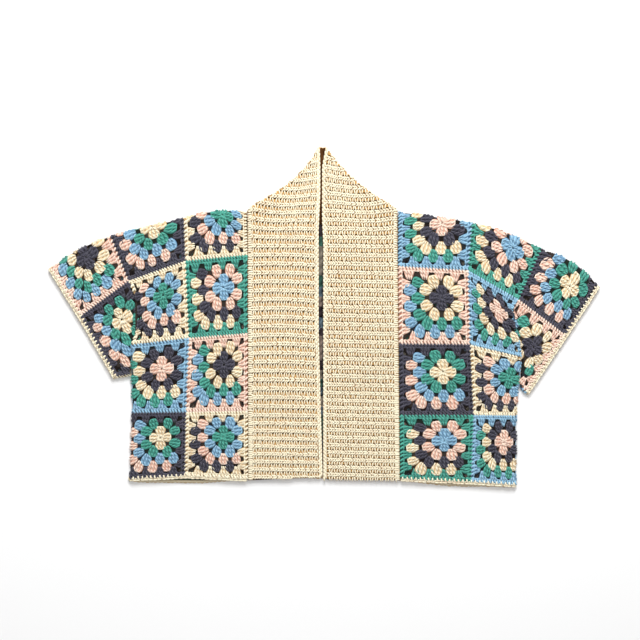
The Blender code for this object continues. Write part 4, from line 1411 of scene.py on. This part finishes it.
class Finish:
    """A material under way, and the nodes that feed its shader."""

    def __init__(self, name):
        self.material = bpy.data.materials.new(name)
        self.material.use_nodes = True
        self.tree = self.material.node_tree
        self.shader = self.tree.nodes["Principled BSDF"]
        self.place = self.tree.nodes.new("ShaderNodeTexCoord")

    def feed(self, value, socket):
        """Links another node's output to a socket, or gives it a plain value."""
        if isinstance(value, bpy.types.NodeSocket):
            self.tree.links.new(value, socket)
        else:
            socket.default_value = value

    def node(self, kind, **settings):
        """A node with its settings: names of inputs or of the node's own properties."""
        made = self.tree.nodes.new(kind)
        for key, value in settings.items():
            if hasattr(made, key):
                setattr(made, key, value)
            else:
                self.feed(value, made.inputs[key])
        return made

    def mix(self, share, a, b):
        """Mixes two colours, each a socket or a value."""
        made = self.node("ShaderNodeMix", data_type="RGBA")
        for value, socket in ((share, made.inputs[0]), (a, made.inputs[6]), (b, made.inputs[7])):
            self.feed(value, socket)
        return made.outputs[2]

    def maths(self, way, a, b=0.0, c=0.0):
        """One sum of up to three values, each a socket or a number."""
        made = self.node("ShaderNodeMath", operation=way)
        for value, socket in zip((a, b, c), made.inputs):
            self.feed(value, socket)
        return made.outputs[0]

    def noise(self, scale, detail=2.0):
        """A share that drifts over the garment."""
        made = self.node("ShaderNodeTexNoise", Scale=scale, Detail=detail,
                         Vector=self.place.outputs["Object"])
        return made.outputs["Fac"]

    def chart(self):
        """The two places on the chart of the piece."""
        made = self.node("ShaderNodeSeparateXYZ", Vector=self.place.outputs["UV"])
        return made.outputs["X"], made.outputs["Y"]

    def matt(self, colour, relief=None, strength=0.6, distance=0.0008, roughness=0.95, gloss=0.1):
        """The material, as a matt surface of that colour with a relief."""
        if relief is not None:
            bump = self.node("ShaderNodeBump", Strength=strength, Distance=distance, Height=relief)
            self.feed(bump.outputs["Normal"], self.shader.inputs["Normal"])
        self.feed(colour, self.shader.inputs["Base Color"])
        self.shader.inputs["Roughness"].default_value = roughness
        self.shader.inputs["Specular IOR Level"].default_value = gloss
        return self.material


# Painted shade colour of each yarn, for the undersides and hollows of its stitches
SHADES = {
    "cream": (0.56, 0.30, 0.07),
    "green": (0.008, 0.09, 0.075),
    "blue": (0.05, 0.14, 0.28),
    "slate": (0.01, 0.01, 0.016),
    "blush": (0.56, 0.19, 0.10),
}


def yarn_material(colour):
    """Plied matt yarn: twisted plies and fibres with random tone, and painted shade that leaves
    its tops pale and darkens its undersides, its hollows and the grooves between its plies towards
    its shade colour.
    """
    name = colour + "_yarn_finish"
    if name in bpy.data.materials:
        return bpy.data.materials[name]
    finish = Finish(name)
    maths, mix = finish.maths, finish.mix
    base, shade = getattr(colours(), colour), SHADES[colour]
    tone = finish.node("ShaderNodeAttribute", attribute_name="tone").outputs["Fac"]
    depth = finish.node("ShaderNodeAttribute", attribute_name="depth").outputs["Fac"]
    light = tuple(min(1.0, x * 1.12) for x in base) + (1,)
    dark = tuple(0.78 * x + 0.22 * y for x, y in zip(base, shade)) + (1,)
    vary = maths("MULTIPLY_ADD", finish.noise(45.0, 3.0), 0.5, -0.1)
    vary = maths("ADD", vary, maths("MULTIPLY", tone, 0.6))
    # Painted shade: the yarn's shade colour, by the depth attribute of each point
    painted_shade_share = maths("MULTIPLY", maths("POWER", depth, 1.2), 0.95)
    coloured = mix(painted_shade_share, mix(vary, light, dark), (*shade, 1))
    run, turn = finish.chart()
    wind = maths("ADD", maths("MULTIPLY", run, 420.0), maths("MULTIPLY", turn, 3.0))
    ply = maths("SINE", maths("MULTIPLY", wind, 2 * math.pi))
    height = maths("MULTIPLY_ADD", ply, 0.5, 0.5)
    height = maths("ADD", height, maths("MULTIPLY", finish.noise(2600.0), 0.5))
    # Painted shade in the grooves between the plies
    ply_groove_shade = maths("MULTIPLY_ADD", ply, -0.09, 0.09)
    finish.shader.inputs["Sheen Weight"].default_value = 0.25
    finish.shader.inputs["Sheen Roughness"].default_value = 0.45
    return finish.matt(mix(ply_groove_shade, coloured, (*shade, 1)), height, 0.55, 0.0005, 0.88, 0.25)


def ring_colour(finish, colour, dim, painted_shade_ground, rows_only=False):
    """The colours of the five rounds by place on the chart, dimmed towards a dark ground colour as
    painted shade.
    """
    maths = finish.maths
    across, up = finish.chart()
    x = 0.0 if rows_only else maths("SUBTRACT", across, FLOWER)
    y = maths("SUBTRACT", up, FLOWER)
    low = maths("MULTIPLY", maths("MINIMUM", x, y), -1.0)
    high = maths("MAXIMUM", x, y)
    outer = maths("MULTIPLY", maths("GREATER_THAN", high, 0.26), 0.6)
    away = maths("MAXIMUM", low, maths("MAXIMUM", high, outer))
    ramp = finish.node("ShaderNodeValToRGB", Fac=away)
    ramp.color_ramp.interpolation = "CONSTANT"
    elements = ramp.color_ramp.elements
    while len(elements) < len(ROUND_STARTS):
        elements.new(0.5)
    for element, start, name in zip(elements, ROUND_STARTS, ROUNDS[colour]):
        element.position = start
        yarn = getattr(colours(), name)
        element.color = tuple(g + (c - g) * dim for c, g in zip(yarn, painted_shade_ground)) + (1,)
    return ramp.outputs["Color"]


def painted_shade_between_material(colour):
    """Painted shade for the deep places between the clusters: nearly black, with a trace of the
    yarn about them.
    """
    name = f"between_{colour}_clusters"
    if name in bpy.data.materials:
        return bpy.data.materials[name]
    finish = Finish(name)
    tint = ring_colour(finish, colour, 0.03, (0.012, 0.008, 0.006))
    speck = finish.noise(700.0)
    share = finish.maths("MULTIPLY", speck, 0.4)
    return finish.matt(finish.mix(share, tint, (0.005, 0.004, 0.004, 1)), speck)


def inside_material(colour):
    """The inner face of a square: its rounds of stitches, darkened by painted shade to a fifth of
    their colour, with darker painted shade along diagonal rows.
    """
    name = f"inside_of_{colour}_square"
    if name in bpy.data.materials:
        return bpy.data.materials[name]
    finish = Finish(name)
    tint = ring_colour(finish, colour, 0.2, (0.02, 0.01, 0.006), True)
    rows = finish.node("ShaderNodeTexWave", wave_type="BANDS", bands_direction="DIAGONAL",
                       Scale=7.0, Distortion=2.5, Vector=finish.place.outputs["UV"])
    share = finish.maths("MULTIPLY", rows.outputs["Fac"], 0.45)
    shaded_inside = finish.mix(share, tint, (0.01, 0.008, 0.008, 1))
    return finish.matt(shaded_inside, rows.outputs["Fac"], 0.8, 0.0012)


def band_painted_shade_material():
    """Painted shade in the hollows of the neckband: a dark painted shadow in the row beside each
    ridge, tan painted shade in the others.
    """
    name = "between_band_stitches"
    if name in bpy.data.materials:
        return bpy.data.materials[name]
    finish = Finish(name)
    row = finish.maths("FRACT", finish.chart()[1])
    off = finish.maths("ABSOLUTE", finish.maths("SUBTRACT", row, 0.5))
    # Painted shadow: the row beside each ridge, which the ridge shades
    dark = finish.maths("GREATER_THAN", off, 0.42)
    speck = finish.noise(420.0)
    tan_shade = finish.mix(speck, (0.68, 0.42, 0.15, 1), (0.36, 0.18, 0.05, 1))
    deep = finish.mix(speck, (0.10, 0.05, 0.015, 1), (0.02, 0.01, 0.004, 1))
    return finish.matt(finish.mix(dark, tan_shade, deep), speck)


def band_inside_material():
    """The inner face of the neckband: rows of stitches in deep brown shade."""
    name = "inside_of_band"
    if name in bpy.data.materials:
        return bpy.data.materials[name]
    finish = Finish(name)
    rows = finish.maths("SINE", finish.maths("MULTIPLY", finish.chart()[1], RIB_WAVE))
    share = finish.maths("MULTIPLY_ADD", rows, 0.25, finish.noise(300.0))
    brown = finish.mix(share, (0.15, 0.06, 0.015, 1), (0.04, 0.014, 0.004, 1))
    return finish.matt(brown, rows, 0.7, 0.001)


# ---------------------------------------------------------------- stage


def floor_and_light(stage):
    """A plain pale floor, soft lights from above the neck, and the camera straight above."""
    mesh = bpy.data.meshes.new("floor")
    half = 4.0
    mesh.from_pydata([(-half, -half, 0), (half, -half, 0), (half, half, 0), (-half, half, 0)],
                     [], [(0, 1, 2, 3)])
    floor = bpy.data.objects.new("floor", mesh)
    bpy.context.scene.collection.objects.link(floor)
    floor.location.z = -0.0004
    finish = Finish("pale_floor")
    tint = finish.mix(finish.noise(3.0), (0.87, 0.87, 0.87, 1), (0.88, 0.88, 0.88, 1))
    mesh.materials.append(finish.matt(tint, roughness=0.9))
    floor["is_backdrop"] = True

    for name, place, size, power in (
        ("key_light", (0.15, 1.9, 1.75), 1.4, stage.key),
        ("fill_light", (-1.6, -0.8, 2.4), 2.4, stage.fill),
        ("top_light", (0.8, 0.2, 3.2), 2.6, stage.top),
    ):
        light = bpy.data.lights.new(name, "AREA")
        light.energy, light.size = power, size
        lamp = bpy.data.objects.new(name, light)
        lamp.location = place
        lamp.rotation_euler = (-Vector(place)).to_track_quat("-Z", "Y").to_euler()
        bpy.context.scene.collection.objects.link(lamp)

    world = bpy.data.worlds.new("studio")
    world.use_nodes = True
    world.node_tree.nodes["Background"].inputs["Color"].default_value = (1, 1, 1, 1)
    world.node_tree.nodes["Background"].inputs["Strength"].default_value = stage.world
    bpy.context.scene.world = world

    lens = bpy.data.cameras.new("camera")
    lens.sensor_width = 36.0
    lens.lens = 36.0 * stage.distance / stage.view
    lens.clip_end = 20.0
    camera = bpy.data.objects.new("camera", lens)
    camera.location = (stage.across, stage.up, stage.distance)
    bpy.context.scene.collection.objects.link(camera)
    bpy.context.scene.camera = camera
    bpy.context.scene.view_settings.view_transform = "Standard"


# ---------------------------------------------------------------- settings, operators, panel


class CardiganYarns(bpy.types.PropertyGroup):
    """Colours of the five yarns."""

    cream: bpy.props.FloatVectorProperty(
        name="Cream", description="Cream yarn, also of the neckband", subtype="COLOR",
        default=(0.97, 0.89, 0.71), min=0, max=1)
    green: bpy.props.FloatVectorProperty(
        name="Green", description="Green yarn", subtype="COLOR",
        default=(0.095, 0.44, 0.34), min=0, max=1)
    blue: bpy.props.FloatVectorProperty(
        name="Light blue", description="Light blue yarn", subtype="COLOR",
        default=(0.34, 0.58, 0.74), min=0, max=1)
    slate: bpy.props.FloatVectorProperty(
        name="Slate", description="Dark slate yarn", subtype="COLOR",
        default=(0.082, 0.078, 0.11), min=0, max=1)
    blush: bpy.props.FloatVectorProperty(
        name="Blush", description="Pale pink yarn", subtype="COLOR",
        default=(0.97, 0.78, 0.66), min=0, max=1)


class CardiganStitches(bpy.types.PropertyGroup):
    """Sizes of the stitches."""

    yarn_thickness: bpy.props.FloatProperty(
        name="Yarn thickness", description="Thickness of a strand as it lies in a stitch",
        unit="LENGTH", default=0.0038, min=0.002, max=0.005)
    cluster_height: bpy.props.FloatProperty(
        name="Cluster height", description="Height of a cluster over the cloth between clusters",
        unit="LENGTH", default=0.0026, min=0.001, max=0.004)


class CardiganStage(bpy.types.PropertyGroup):
    """Camera and light."""

    distance: bpy.props.FloatProperty(
        name="Camera height", description="Height of the camera over the floor",
        unit="LENGTH", default=3.2)
    view: bpy.props.FloatProperty(
        name="Width of the view", description="Width that the picture takes in",
        unit="LENGTH", default=1.0816)
    across: bpy.props.FloatProperty(
        name="Camera across", description="Place of the camera from side to side",
        unit="LENGTH", default=-0.0071)
    up: bpy.props.FloatProperty(
        name="Camera up", description="Place of the camera from hem to neck",
        unit="LENGTH", default=-0.0048)
    key: bpy.props.FloatProperty(
        name="Key light", description="Soft light from beyond the neck", unit="POWER", default=84)
    fill: bpy.props.FloatProperty(
        name="Fill light", description="Wide light from the lower left", unit="POWER", default=15)
    top: bpy.props.FloatProperty(
        name="Top light", description="Wide light from above", unit="POWER", default=29)
    world: bpy.props.FloatProperty(
        name="Room light", description="Strength of the even light of the room", default=0.28)


class CARDIGAN_OT_stage(bpy.types.Operator):
    """Make the floor, the lights and the camera"""

    bl_idname = "cardigan.stage"
    bl_label = "Stage"

    def execute(self, context):
        floor_and_light(context.scene.cardigan_stage)
        return {"FINISHED"}


class CARDIGAN_OT_top_squares(bpy.types.Operator):
    """Make the squares that lie over the shoulders and sleeves"""

    bl_idname = "cardigan.top_squares"
    bl_label = "Shoulder squares"

    def execute(self, context):
        for side in ("left", "right"):
            top_squares(side)
        return {"FINISHED"}


class CARDIGAN_OT_front_squares(bpy.types.Operator):
    """Make the squares of the two fronts"""

    bl_idname = "cardigan.front_squares"
    bl_label = "Front squares"

    def execute(self, context):
        for side in ("left", "right"):
            front_squares(side)
        return {"FINISHED"}


class CARDIGAN_OT_sleeves(bpy.types.Operator):
    """Make the lower squares of the sleeves"""

    bl_idname = "cardigan.sleeves"
    bl_label = "Sleeve squares"

    def execute(self, context):
        for side in ("left", "right"):
            sleeve_squares(side)
        return {"FINISHED"}


class CARDIGAN_OT_back_squares(bpy.types.Operator):
    """Make the squares of the back"""

    bl_idname = "cardigan.back_squares"
    bl_label = "Back squares"

    def execute(self, context):
        back_squares()
        return {"FINISHED"}


class CARDIGAN_OT_neckband(bpy.types.Operator):
    """Make the ribbed neckband"""

    bl_idname = "cardigan.neckband"
    bl_label = "Neckband"

    def execute(self, context):
        neckband()
        return {"FINISHED"}


class CARDIGAN_OT_edging(bpy.types.Operator):
    """Make the edging of the hem and the cuffs"""

    bl_idname = "cardigan.edging"
    bl_label = "Edging"

    def execute(self, context):
        hem_edging()
        for side in ("left", "right"):
            cuff_edging(side)
        return {"FINISHED"}


OPERATORS = (
    CARDIGAN_OT_stage,
    CARDIGAN_OT_back_squares,
    CARDIGAN_OT_sleeves,
    CARDIGAN_OT_top_squares,
    CARDIGAN_OT_front_squares,
    CARDIGAN_OT_neckband,
    CARDIGAN_OT_edging,
)


class CARDIGAN_PT_panel(bpy.types.Panel):
    """The pieces of the cardigan and its colours"""

    bl_idname = "CARDIGAN_PT_panel"
    bl_label = "Cardigan"
    bl_space_type = "VIEW_3D"
    bl_region_type = "UI"
    bl_category = "Cardigan"

    def draw(self, context):
        layout = self.layout
        scene = context.scene
        for group in (scene.cardigan_yarns, scene.cardigan_stitches, scene.cardigan_stage):
            for name in group.bl_rna.properties.keys():
                if name not in ("rna_type", "name"):
                    layout.prop(group, name)
        for operator in OPERATORS:
            layout.operator(operator.bl_idname)


CLASSES = (CardiganYarns, CardiganStitches, CardiganStage) + OPERATORS + (CARDIGAN_PT_panel,)


def register():
    for made in CLASSES:
        bpy.utils.register_class(made)
    bpy.types.Scene.cardigan_yarns = bpy.props.PointerProperty(type=CardiganYarns)
    bpy.types.Scene.cardigan_stitches = bpy.props.PointerProperty(type=CardiganStitches)
    bpy.types.Scene.cardigan_stage = bpy.props.PointerProperty(type=CardiganStage)


def unregister():
    del bpy.types.Scene.cardigan_stage
    del bpy.types.Scene.cardigan_stitches
    del bpy.types.Scene.cardigan_yarns
    for made in reversed(CLASSES):
        bpy.utils.unregister_class(made)


def main():
    register()
    for operator in OPERATORS:
        group, name = operator.bl_idname.split(".")
        getattr(getattr(bpy.ops, group), name)()
    boxes = {"cad": CAD_BOX, "visual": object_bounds()}
    plain = {name: [list(corner) for corner in box] for name, box in boxes.items()}


if __name__ == "__main__":
    main()
